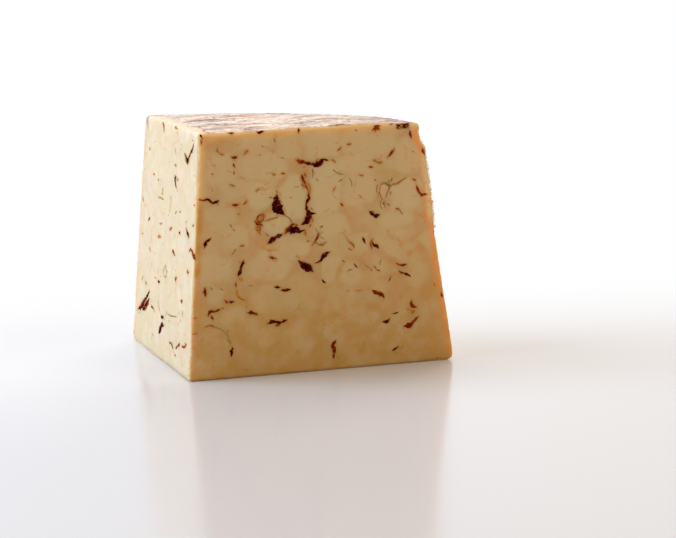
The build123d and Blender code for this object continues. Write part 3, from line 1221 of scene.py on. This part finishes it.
def place_listed(meshes, surface, listed, on_cut, rng):
    """The flakes of a list, each with its stain and the bits broken off it."""
    for name, spines in listed.items():
        kind = FLAKE_KINDS[name]
        for points in spines:
            spine = [
                (on_cut(surface, along, height), width * MM * kind.stretch + kind.fringe)
                for along, height, width in points
            ]
            line = add_flake(
                meshes[name], surface, spine, LISTED_STEP, kind.thickness, kind.rough, rng
            )
            surface.bleed(line, kind.reach, kind.strength)
            add_satellites(meshes, surface, line, rng)


def free_spot(surface, rng):
    """A random vertex of the cheese that no list of flakes covers."""
    while True:
        vertex = surface.mesh.vertices[rng.randrange(len(surface.mesh.vertices))]
        if vertex.co.z < NO_FLAKES_BELOW:
            continue
        if below_cut(vertex.co, SECOND_CUT) < 1 * MM and not in_far_corner(vertex.co):
            continue
        if below_cut(vertex.co, FIRST_CUT) < 1 * MM:
            continue
        return vertex


def random_spine(surface, vertex, length, width, rng):
    """A short wandering spine on the cheese, starting at a vertex."""
    normal = vertex.normal
    way = normal.cross(Vector((rng.uniform(-1, 1), rng.uniform(-1, 1), 0.4)))
    way.normalize()
    swells = SHORT_SWELL if length < 4 * MM else LONG_SWELL
    point = vertex.co.copy()
    spine = []
    for swell in swells:
        spine.append((surface.nearest(point)[0], width * swell * rng.uniform(0.7, 1.2)))
        way.rotate(Matrix.Rotation(rng.uniform(-0.7, 0.7), 3, normal))
        point = point + way * length / (len(swells) - 1)
    return spine


def scatter(meshes, surface, count, rng):
    """Flakes all over what no list covers, the long ones only in cut paste."""
    depths = surface.mesh.attributes["rind_depth"].data
    for _ in range(count):
        vertex = free_spot(surface, rng)
        in_paste = depths[vertex.index].value > 1.5
        name = rng.choices(FLAKE_ORDER, SCATTERED_SHARES)[0]
        kind = FLAKE_KINDS[name]
        length = rng.uniform(0.9, 3.2) * MM
        if in_paste:
            length = rng.uniform(1.5, 8.0 if rng.random() < 0.4 else 3.5) * MM
        width = length * rng.uniform(0.18, 0.42)
        width = min(max(width, 0.5 * MM), 2.4 * MM)
        if name in ("orange", "olive"):
            width *= 0.6
        spine = random_spine(surface, vertex, length, width, rng)
        line = add_flake(
            meshes[name], surface, spine, SCATTERED_STEP, kind.thickness, kind.rough, rng
        )
        surface.bleed(line, kind.reach, kind.strength * rng.uniform(0.4, 1.0))


def scatter_specks(meshes, surface, count, rng):
    """Tiny specks all over the block."""
    for _ in range(count):
        vertex = surface.mesh.vertices[rng.randrange(len(surface.mesh.vertices))]
        if vertex.co.z < NO_FLAKES_BELOW:
            continue
        flakes = meshes[rng.choices(FLAKE_ORDER, SPECK_SHARES)[0]]
        size = rng.uniform(0.35, 0.8) * MM
        spine = random_spine(surface, vertex, size * 1.5, size * 0.8, rng)[:2]
        add_flake(flakes, surface, spine, size, SMALL_THICKNESS, SMALL_ROUGHNESS, rng)


# Crumbs

# How near a cut and how deep in the rind, in millimetres, crumbs cling.
CRUMBLY = 0.9
CRUMB_TURN_AXIS = Vector((0.3, 0.5, 0.8)).normalized()


def crumbly_edges(mesh):
    """The vertices of the rind's cut edges and of the foot, for crumbs to cling to."""
    depths = mesh.attributes["rind_depth"].data
    edges = []
    for vertex in mesh.vertices:
        near_first = below_cut(vertex.co, FIRST_CUT) < CRUMBLY * MM
        near_second = below_cut(vertex.co, SECOND_CUT) < CRUMBLY * MM
        if depths[vertex.index].value < CRUMBLY and (near_first or near_second):
            edges.append(vertex)
    return edges


def add_crumb(crumbs, place, size, rng):
    """A small knobbly lump round a place."""
    made = bmesh.ops.create_icosphere(crumbs, subdivisions=1, radius=0.5 * size)
    turn = Matrix.Rotation(rng.uniform(0, math.tau), 3, CRUMB_TURN_AXIS)
    stretch = Vector(
        (rng.uniform(0.6, 1.5), rng.uniform(0.6, 1.2), rng.uniform(0.5, 1.1))
    )
    for vert in made["verts"]:
        knobbly = vert.co * stretch * rng.uniform(0.75, 1.25)
        vert.co = place + turn @ knobbly


def make_crumbs(cheese, settings):
    """Dry crumbs and bits of rind film that cling to the rind's cut edges."""
    rng = random.Random(17)
    edges = crumbly_edges(cheese.data)
    crumbs = bmesh.new()
    made = 0
    while made < settings.crumb_count:
        vertex = rng.choice(edges)
        place = vertex.co
        by_second = below_cut(place, SECOND_CUT) < 1 * MM
        in_bloom = by_second and BLOOM_START < place.z < CRUMBS_END
        if not in_bloom and (place.z > 1.5 * MM or rng.random() < 0.6):
            continue
        size = rng.uniform(0.20, 0.60) * MM
        middle = place + vertex.normal * rng.uniform(-0.1, 0.35) * size
        if in_bloom:
            size *= 1.2
            outward = Vector((place.x - KNIFE_TOP.x, place.y - KNIFE_TOP.y, 0))
            middle += outward.normalized() * rng.uniform(0, 0.5) * MM
        if middle.z - 0.8 * size < 0:
            continue
        add_crumb(crumbs, middle, size, rng)
        made += 1
    mesh = bpy.data.meshes.new("crumbs")
    crumbs.to_mesh(mesh)
    crumbs.free()
    return new_object("crumbs", mesh)


# Shaders


class Wire:
    """A shader output. Arithmetic on it adds Math nodes behind it."""

    def __init__(self, shader, socket):
        self.shader = shader
        self.socket = socket

    def math(self, operation, *values):
        inputs = dict(enumerate(values))
        return self.shader.add("ShaderNodeMath", {"operation": operation}, inputs)

    def __add__(self, other):
        return self.math("ADD", self, other)

    def __radd__(self, other):
        return self.math("ADD", other, self)

    def __sub__(self, other):
        return self.math("SUBTRACT", self, other)

    def __rsub__(self, other):
        return self.math("SUBTRACT", other, self)

    def __mul__(self, other):
        return self.math("MULTIPLY", self, other)

    def __rmul__(self, other):
        return self.math("MULTIPLY", other, self)

    def step(self, low, high, start=0.0, end=1.0):
        """Smooth change from start to end as this value goes from low to high."""
        return self.shader.add(
            "ShaderNodeMapRange",
            {"interpolation_type": "SMOOTHSTEP", "clamp": True},
            {"Value": self, "From Min": low, "From Max": high, "To Min": start,
             "To Max": end},
        )


class Shader:
    """The node tree of a material or a world, filled by one method."""

    def __init__(self, owner):
        self.owner = owner
        owner.use_nodes = True
        self.tree = owner.node_tree
        self.tree.nodes.clear()

    def add(self, kind, settings=None, inputs=None, output=0):
        """Add a node with its settings and inputs, and return one output's wire."""
        node = self.tree.nodes.new(kind)
        for name, value in (settings or {}).items():
            if name == "stops":
                self.set_stops(node.color_ramp, value)
            else:
                setattr(node, name, value)
        for key, value in (inputs or {}).items():
            if isinstance(value, Wire):
                self.tree.links.new(value.socket, node.inputs[key])
            else:
                node.inputs[key].default_value = value
        return Wire(self, node.outputs[output]) if len(node.outputs) else None

    @staticmethod
    def set_stops(ramp, stops):
        """Give a ramp its stops, as (position, colour)."""
        while len(ramp.elements) < len(stops):
            ramp.elements.new(0.5)
        for element, (position, colour) in zip(ramp.elements, stops):
            element.position = position
            element.color = (*colour, 1)

    def place(self, turn=(0, 0, 0), scale=(1, 1, 1), shift=(0, 0, 0)):
        """Object coordinates in metres, turned and scaled."""
        own = self.add("ShaderNodeTexCoord", output="Object")
        return self.add(
            "ShaderNodeMapping",
            {},
            {"Vector": own, "Rotation": turn, "Scale": scale, "Location": shift},
        )

    def cloud(self, vector, size, detail=3.0, roughness=0.55, distortion=0.0):
        """Noise with features of about a given size in metres, from 0 to 1."""
        return self.add(
            "ShaderNodeTexNoise",
            {"noise_dimensions": "3D"},
            {"Vector": vector, "Scale": 1 / size, "Detail": detail,
             "Roughness": roughness, "Distortion": distortion},
        )

    def vector(self, operation, first, second):
        """Vector arithmetic on two vectors."""
        inputs = {0: first, 1: second}
        return self.add("ShaderNodeVectorMath", {"operation": operation}, inputs)

    def wander(self, vector, size, reach):
        """A vector pushed about by up to a reach, by noise of a given size."""
        push = self.add(
            "ShaderNodeTexNoise",
            {"noise_dimensions": "3D"},
            {"Vector": vector, "Scale": 1 / size, "Detail": 2.0},
            "Color",
        )
        centred = self.vector("SUBTRACT", push, (0.5, 0.5, 0.5))
        scaled = self.vector("MULTIPLY", centred, (2 * reach, 2 * reach, 2 * reach))
        return self.vector("ADD", vector, scaled)

    def cells(self, vector, size, feature, output):
        """Cells of about a given size in metres."""
        return self.add(
            "ShaderNodeTexVoronoi",
            {"voronoi_dimensions": "3D", "feature": feature},
            {"Vector": vector, "Scale": 1 / size},
            output,
        )

    def stored(self, name):
        """A number that the mesh holds at each point."""
        return self.add(
            "ShaderNodeAttribute",
            {"attribute_type": "GEOMETRY", "attribute_name": name},
            {},
            "Fac",
        )

    def mix(self, share, first, second):
        """A colour between two colours."""
        first = first if isinstance(first, Wire) else (*first, 1)
        second = second if isinstance(second, Wire) else (*second, 1)
        return self.add(
            "ShaderNodeMix",
            {"data_type": "RGBA", "clamp_factor": True},
            {0: share, 6: first, 7: second},
            2,
        )

    def bump(self, height, distance, strength):
        """A normal that leans with a height, in parts of a distance in metres."""
        inputs = {"Height": height, "Distance": distance, "Strength": strength}
        return self.add("ShaderNodeBump", {}, inputs)

    def finish(self, inputs):
        """Close the tree with a principled surface."""
        surface = self.add("ShaderNodeBsdfPrincipled", {}, inputs)
        self.add("ShaderNodeOutputMaterial", {}, {"Surface": surface})
        return self.owner


def paste_look(shader, settings, place, stain, fine):
    """Pale curd pieces in a warmer matrix, with stains and faint hairlines."""
    curd = shader.stored("curd") + (fine - 0.5) * 0.25
    patchy = shader.cloud(place, 13 * MM, 3.0)
    matrix = shader.mix(
        patchy.step(0.34, 0.60), settings.paste_colour, settings.seam_colour
    )
    colour = shader.mix(curd.step(0.0, 0.60), matrix, settings.paste_colour)
    colour = shader.mix(curd.step(0.45, 1.1), colour, settings.pale_paste_colour)
    glowing = shader.cloud(shader.place(shift=(0.2, 0.4, 0.1)), 9 * MM, 3.0)
    seam = curd.step(0.30, 0.05)
    colour = shader.mix(seam * glowing.step(0.50, 0.64) * 0.4, colour,
                        settings.stain_colour)
    wandering = shader.wander(place, 14 * MM, 4.0 * MM)
    gap = shader.cells(wandering, settings.curd_size, "DISTANCE_TO_EDGE", "Distance")
    line = (gap * (settings.curd_size / MM)).step(0.55, 0.05)
    broken = shader.cloud(place, 5 * MM, 4.0, 0.6)
    colour = shader.mix(line * broken.step(0.53, 0.64) * 0.6, colour,
                        settings.hairline_colour)
    torn = shader.cloud(shader.place(shift=(0.6, 0.1, 0.8)), 6 * MM, 4.0, 0.6)
    colour = shader.mix(line * torn.step(0.62, 0.70) * 0.7, colour,
                        settings.deep_stain_colour)
    specks = shader.cells(place, 8.5 * MM, "F1", "Distance")
    colour = shader.mix(specks.step(0.055, 0.04) * 0.8, colour, settings.speck_colour)
    bled = (stain * fine.step(0.25, 0.7, 0.55, 1.25)).step(0.02, 1.0)
    colour = shader.mix(bled.step(0.0, 0.65) * 0.7, colour, settings.stain_colour)
    colour = shader.mix(bled.step(0.55, 1.0) * 0.6, colour, settings.deep_stain_colour)
    return colour, bled


def rind_look(shader, settings, bled):
    """A tan skin with dry bloom, brown streaks, orange runs and specks."""
    place = shader.place()
    top = shader.stored("top")
    blotches = shader.cloud(shader.place(shift=(0.3, 0.1, 0.2)), 11 * MM, 4.0, 0.6)
    colour = shader.mix(
        blotches.step(0.38, 0.62), settings.rind_colour, settings.pale_rind_colour
    )
    runs = shader.cloud(
        shader.place(scale=(1, 1, 0.25), shift=(0.7, 0.2, 0)), 7 * MM, 4.0, 0.6, 0.5
    )
    colour = shader.mix(runs.step(0.58, 0.66) * 0.65, colour, settings.stain_colour)
    film = shader.cloud(
        shader.place(scale=(1, 1, 0.5), shift=(0.1, 0.6, 0.3)), 12 * MM, 7.0, 0.7
    )
    crackle = shader.cells(shader.wander(place, 3 * MM, MM), 1.8 * MM,
                           "DISTANCE_TO_EDGE", "Distance")
    film = film.step(0.51, 0.55) * crackle.step(0.0, 0.10, 0.35, 1.0)
    colour = shader.mix(film * 0.85, colour, settings.rind_film_colour)
    colour = shader.mix(top * 0.9, colour, settings.top_rind_colour)
    grit = shader.cloud(shader.place(scale=(0.9, 0.4, 1)), 2.0 * MM, 4.0, 0.65)
    # Pale film in fine specks on the top, partly painted glare of light off the top.
    glare_patches = shader.cloud(
        shader.place(scale=(0.5, 0.8, 1), shift=(0.2, 0.3, 0)), 7 * MM, 5.0, 0.65
    )
    dusty = shader.cloud(place, 0.9 * MM, 3.0, 0.7)
    film_and_glare = (glare_patches * 0.42 + grit * 0.36 + dusty * 0.22).step(0.455, 0.555)
    colour = shader.mix(film_and_glare * top, colour, settings.rind_film_colour)
    streaks = shader.cloud(
        shader.place(scale=(0.26, 0.68, 1), shift=(0.5, 0, 0)), 3.8 * MM, 5.0, 0.6, 0.4
    )
    streaked = (streaks * 0.62 + grit * 0.2 + dusty * 0.18).step(0.515, 0.575)
    colour = shader.mix(streaked * top, colour, settings.streak_colour)
    rusty = shader.cloud(
        shader.place(scale=(0.16, 0.7, 1), shift=(0.1, 0.9, 0)), 6 * MM, 4.0, 0.6, 0.3
    )
    rusted = (rusty * 0.75 + dusty * 0.25).step(0.555, 0.64)
    colour = shader.mix(rusted * top * 0.6, colour,
                        settings.deep_stain_colour)
    jittered = shader.wander(place, 2 * MM, 0.9 * MM)
    specks = shader.cells(jittered, 6.5 * MM, "F1", "Distance")
    ringed = specks.step(0.24, 0.08) * blotches.step(0.46, 0.54)
    colour = shader.mix(ringed * 0.6, colour, settings.stain_colour)
    speck_size = grit.step(0.40, 0.60) * 0.09
    colour = shader.mix((specks - speck_size).step(0.02, -0.01) * 0.9, colour,
                        settings.deep_stain_colour)
    return shader.mix(bled * 0.6, colour, settings.stain_colour), film, grit


# How far red, green and blue light spreads in the cheese, in parts of a distance
# that is longer in the moist paste than in the dry rind.
LIGHT_SPREAD = (1.0, 0.45, 0.16)
PASTE_GLOW = 4.5 * MM
RIND_GLOW = 1.0 * MM


def cheese_material(settings):
    """The cut paste, the warm zone under the rind, and the rind itself, with painted glow
    and shade in the gold and amber tints.
    """
    shader = Shader(bpy.data.materials.new("cheese"))
    place = shader.place()
    depth = shader.stored("rind_depth")
    fine = shader.cloud(place, 1.6 * MM, 4.0, 0.6)
    patchy = shader.cloud(place, 7 * MM, 3.0)
    paste, bled = paste_look(shader, settings, place, shader.stored("stain"), fine)
    rind, film, grit = rind_look(shader, settings, bled)
    # The dried zone under the rind, partly painted glow of light through the edge.
    under = (depth - patchy * 4.0).step(2.6, -0.8) * shader.stored("drying")
    dried = shader.mix(shader.stored("top"), settings.under_rind_glow_colour,
                       settings.gold_colour)
    paste = shader.mix(under, paste, dried)
    # Painted glow along the knife edge, then painted glow and warm painted shade toward the
    # second cut's foot.
    paste = shader.mix(shader.stored("knife_edge") * 0.6, paste, settings.gold_colour)
    painted_glow_and_shade = shader.stored("amber") * patchy.step(0.3, 0.68, 0.55, 1.45)
    paste = shader.mix(painted_glow_and_shade, paste, settings.amber_colour)
    # Pale lining of the holes, pushed paler as painted light against their shade.
    pale = shader.stored("pale")
    paste = shader.mix(pale.step(0.4, 0.9), paste, settings.void_lining_and_light_colour)
    crust = (depth + fine * 0.8).step(1.15, 0.65)
    colour = shader.mix(crust, paste, rind)
    # A darker band along the top's far rim, and the smudge by the second cut's top.
    smudge = shader.stored("rim") * (grit * 0.5 + fine * 0.5).step(0.55, 0.47, 0.35, 1.0)
    colour = shader.mix(smudge * 0.75, colour, settings.rim_smudge_colour)
    bloom = shader.stored("bloom") * (fine + grit * 0.5).step(0.55, 0.75, 0.35, 1.0)
    colour = shader.mix(bloom, colour, settings.bloom_colour)
    grain = shader.cloud(place, 0.5 * MM, 2.0)
    leather = shader.cloud(shader.place(scale=(0.6, 1, 1)), 2.4 * MM, 5.0, 0.65)
    height = fine * 0.5 + grain * 0.3 + leather * crust * 1.8
    normal = shader.bump(height, 0.14 * MM, 0.5)
    gloss = shader.cloud(place, 5 * MM, 3.0).step(0.3, 0.7, 0.42, 0.58)
    both = {
        "Base Color": colour,
        "Normal": normal,
        "IOR": 1.45,
        "Specular IOR Level": 0.4,
        "Subsurface Radius": LIGHT_SPREAD,
    }
    soft = shader.add("ShaderNodeBsdfPrincipled", {}, {
        **both,
        "Roughness": gloss,
        "Subsurface Weight": 1.0,
        "Subsurface Scale": PASTE_GLOW,
    })
    dry = shader.add("ShaderNodeBsdfPrincipled", {}, {
        **both,
        "Roughness": gloss - film * 0.14,
        "Subsurface Weight": 0.5,
        "Subsurface Scale": RIND_GLOW,
    })
    dryness = crust.math("MAXIMUM", crust.math("MAXIMUM", crust, bloom), smudge)
    surface = shader.add("ShaderNodeMixShader", {}, {0: dryness, 1: soft, 2: dry})
    shader.add("ShaderNodeOutputMaterial", {}, {"Surface": surface})
    return shader.owner


def flake_material(name, settings):
    """A dried flake: dark inside a redder rim, with a stained fringe and painted
    highlights.
    """
    colour = getattr(settings, name + "_colour")
    rim_colour = getattr(settings, name + "_rim_colour")
    plain = name == "olive"
    fringe_colour = rim_colour if plain else settings.fringe_colour
    sheen_colour = colour if plain else getattr(settings, name + "_sheen_colour")
    shader = Shader(bpy.data.materials.new(name + "_flake"))
    fibres = shader.cloud(
        shader.place(turn=(0.4, 0.7, 0.2), scale=(1, 1, 3)), 1.2 * MM, 4.0, 0.6
    )
    streaky = shader.cloud(shader.place(scale=(1, 1, 1.6)), 2.4 * MM, 3.0, 0.6)
    inward = shader.stored("core") * streaky.step(0.30, 0.62, 0.25, 1.5)
    inward = inward + fibres * 0.4 - 0.2
    stops = ((0.02, fringe_colour), (0.13, rim_colour), (RIM_ENDS[name], colour))
    tone = shader.add("ShaderNodeValToRGB", {"stops": stops}, {"Fac": inward})
    # Painted highlights in patches, in place of gloss.
    glints = shader.cloud(shader.place(scale=(1, 1, 1.4)), 1.1 * MM, 3.0, 0.6)
    glinting = glints.step(0.54, 0.62) * inward.step(0.06, 0.22)
    tone = shader.mix(glinting * 0.55, tone, sheen_colour)
    return shader.finish({
        "Base Color": tone,
        "Roughness": fibres.step(0.3, 0.7, 0.42, 0.65),
        "Normal": shader.bump(fibres, 0.15 * MM, 0.6),
        "Specular IOR Level": 0.0,
    })


def crumb_material(settings):
    """Dry pale crumbs, here and there orange; their bright warm cream is partly painted
    glow of the backlit edge.
    """
    shader = Shader(bpy.data.materials.new("crumb"))
    patches = shader.cloud(shader.place(), 6 * MM, 3.0)
    fine = shader.cloud(shader.place(), 0.4 * MM, 3.0)
    tone = shader.mix(patches.step(0.50, 0.64), settings.crumb_glow_colour,
                      settings.under_rind_glow_colour)
    return shader.finish({
        "Base Color": tone,
        "Roughness": 0.7,
        "Normal": shader.bump(fine, 0.1 * MM, 0.5),
        "Specular IOR Level": 0.1,
    })


def floor_material(settings):
    """A glossy white sheet that keeps soft shadows and fades to plain white."""
    shader = Shader(bpy.data.materials.new("white_sheet"))
    sheet = shader.add("ShaderNodeBsdfPrincipled", {}, {
        "Base Color": (*settings.floor_colour, 1),
        "Roughness": settings.floor_roughness,
        "IOR": 1.5,
    })
    bounce = shader.add(
        "ShaderNodeBsdfDiffuse", {}, {"Color": (*settings.bounce_colour, 1)}
    )
    white = shader.add("ShaderNodeEmission", {}, {"Color": (1, 1, 1, 1), "Strength": 1.0})
    camera_ray = shader.add("ShaderNodeLightPath", output="Is Camera Ray")
    diffuse_ray = shader.add("ShaderNodeLightPath", output="Is Diffuse Ray")
    along = shader.add("ShaderNodeSeparateXYZ", {}, {
        "Vector": shader.place(turn=(0, 0, CAMERA_HEADING)),
    }, "Y")
    fade = along.step(settings.fade_start, settings.fade_end) * camera_ray
    near = shader.add("ShaderNodeMixShader", {}, {0: diffuse_ray, 1: sheet, 2: bounce})
    surface = shader.add("ShaderNodeMixShader", {}, {0: fade, 1: near, 2: white})
    shader.add("ShaderNodeOutputMaterial", {}, {"Surface": surface})
    return shader.owner


def white_world(settings):
    """White to the camera and in reflections, softer to everything else."""
    shader = Shader(bpy.data.worlds.new("white_room"))
    dim = shader.add("ShaderNodeBackground", {}, {
        "Color": (*settings.room_colour, 1),
        "Strength": settings.room_strength,
    })
    white = shader.add("ShaderNodeBackground", {}, {"Color": (1, 1, 1, 1), "Strength": 1.0})
    direct = shader.add("ShaderNodeLightPath", output="Is Camera Ray")
    mirrored = shader.add("ShaderNodeLightPath", output="Is Glossy Ray")
    passed = shader.add("ShaderNodeLightPath", output="Is Transmission Ray")
    shown = direct.math("MAXIMUM", direct.math("MAXIMUM", direct, mirrored), passed)
    surface = shader.add("ShaderNodeMixShader", {}, {0: shown, 1: dim, 2: white})
    shader.add("ShaderNodeOutputWorld", {}, {"Surface": surface})
    return shader.owner


# Stage


def add_lamp(name, place, size, power, colour):
    """A soft rectangular lamp that faces the middle of the block."""
    lamp = bpy.data.lights.new(name, "AREA")
    lamp.shape = "RECTANGLE"
    lamp.size, lamp.size_y = size
    lamp.energy = power
    lamp.color = colour
    holder = bpy.data.objects.new(name, lamp)
    collection().objects.link(holder)
    holder.location = place
    middle = (LOW + HIGH) / 2
    holder.rotation_euler = (middle - place).to_track_quat("-Z", "Y").to_euler()
    holder.visible_glossy = False


def add_camera(lens):
    """The camera, placed from the top of the knife edge."""
    data = bpy.data.cameras.new("camera")
    data.lens = lens
    data.sensor_width = CAMERA_SENSOR_MM
    data.clip_start = NEAREST_SHOWN
    camera = bpy.data.objects.new("camera", data)
    collection().objects.link(camera)
    turn = Matrix.Rotation(-CAMERA_HEADING, 4, "Z")
    turn = turn @ Matrix.Rotation(math.pi / 2 - CAMERA_PITCH, 4, "X")
    turn = turn @ Matrix.Rotation(CAMERA_ROLL, 4, "Z")
    camera.matrix_world = Matrix.Translation(KNIFE_TOP + CAMERA_PLACE) @ turn
    bpy.context.scene.camera = camera


class CHEESE_OT_block(bpy.types.Operator):
    """Make the cheese itself, with the relief of its cuts and rind"""

    bl_idname = "cheese.block"
    bl_label = "Cheese"

    def execute(self, context):
        settings = context.scene.cheese_block
        cheese = make_block(settings)
        cheese.data.materials.append(cheese_material(settings))
        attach(cheese, "root")
        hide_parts(BLOCK_NODE)
        return {"FINISHED"}


class CHEESE_OT_crumbs(bpy.types.Operator):
    """Stick dry crumbs to the cut edges of the rind"""

    bl_idname = "cheese.crumbs"
    bl_label = "Crumbs"

    def execute(self, context):
        settings = context.scene.cheese_block
        crumbs = make_crumbs(bpy.data.objects["cheese"], settings)
        crumbs.data.materials.append(crumb_material(settings))
        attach(crumbs, "root")
        return {"FINISHED"}


class CHEESE_OT_flakes(bpy.types.Operator):
    """Seat the dried flakes and specks on the cheese and stain it round them"""

    bl_idname = "cheese.flakes"
    bl_label = "Flakes"

    def execute(self, context):
        settings = context.scene.cheese_flakes
        surface = Surface(bpy.data.objects["cheese"])
        rng = random.Random(41)
        meshes = {kind: bmesh.new() for kind in FLAKE_KINDS}
        place_listed(meshes, surface, SECOND_CUT_FLAKES, on_second_cut, rng)
        place_listed(meshes, surface, FIRST_CUT_FLAKES, on_first_cut, rng)
        scatter(meshes, surface, settings.loose_count, rng)
        scatter_specks(meshes, surface, settings.speck_count, rng)
        surface.store_stain()
        for name, flakes in meshes.items():
            bmesh.ops.recalc_face_normals(flakes, faces=flakes.faces)
            bmesh.ops.triangulate(flakes, faces=flakes.faces)
            mesh = bpy.data.meshes.new(name + "_flakes")
            flakes.to_mesh(mesh)
            flakes.free()
            for polygon in mesh.polygons:
                polygon.use_smooth = True
            mesh.materials.append(flake_material(name, settings))
            piece = new_object(name + "_flakes", mesh)
            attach(piece, "root")
        return {"FINISHED"}


class CHEESE_OT_stage(bpy.types.Operator):
    """Make the floor, the white room, the soft lamps and the camera"""

    bl_idname = "cheese.stage"
    bl_label = "Stage"

    def execute(self, context):
        settings = context.scene.cheese_stage
        sheet = bmesh.new()
        bmesh.ops.create_grid(
            sheet, x_segments=1, y_segments=1, size=settings.floor_half_side
        )
        mesh = bpy.data.meshes.new("floor")
        sheet.to_mesh(mesh)
        sheet.free()
        mesh.materials.append(floor_material(settings))
        new_object("floor", mesh)
        context.scene.world = white_world(settings)
        for name, (place, size, colour) in LAMPS.items():
            add_lamp(name, Vector(place), size, getattr(settings, name + "_power"), colour)
        add_camera(settings.lens)
        context.scene.view_settings.view_transform = "Standard"
        return {"FINISHED"}


class CHEESE_PT_panel(bpy.types.Panel):
    """Lists the settings and the makers in the sidebar."""

    bl_idname = "CHEESE_PT_panel"
    bl_label = "Marbled Cheese"
    bl_space_type = "VIEW_3D"
    bl_region_type = "UI"
    bl_category = "Cheese"

    def draw(self, context):
        for maker, group in MAKERS:
            column = self.layout.column()
            column.operator(maker.bl_idname)
            settings = getattr(context.scene, group)
            for name in settings.__annotations__:
                column.prop(settings, name)


MAKERS = (
    (CHEESE_OT_block, "cheese_block"),
    (CHEESE_OT_flakes, "cheese_flakes"),
    (CHEESE_OT_crumbs, "cheese_block"),
    (CHEESE_OT_stage, "cheese_stage"),
)
GROUPS = {
    "cheese_block": CheeseBlockSettings,
    "cheese_flakes": CheeseFlakeSettings,
    "cheese_stage": CheeseStageSettings,
}
CLASSES = (*GROUPS.values(), *(maker for maker, _ in MAKERS), CHEESE_PT_panel)


def register():
    """Add the settings, makers and panel to Blender."""
    for item in CLASSES:
        bpy.utils.register_class(item)
    for name, group in GROUPS.items():
        setattr(bpy.types.Scene, name, PointerProperty(type=group))


def unregister():
    """Take the settings, makers and panel out of Blender."""
    for name in GROUPS:
        delattr(bpy.types.Scene, name)
    for item in reversed(CLASSES):
        bpy.utils.unregister_class(item)


def main():
    """Make the cheese and its stage."""
    register()
    bpy.ops.cheese.block()
    bpy.ops.cheese.flakes()
    bpy.ops.cheese.crumbs()
    bpy.ops.cheese.stage()


if __name__ == "__main__":
    main()
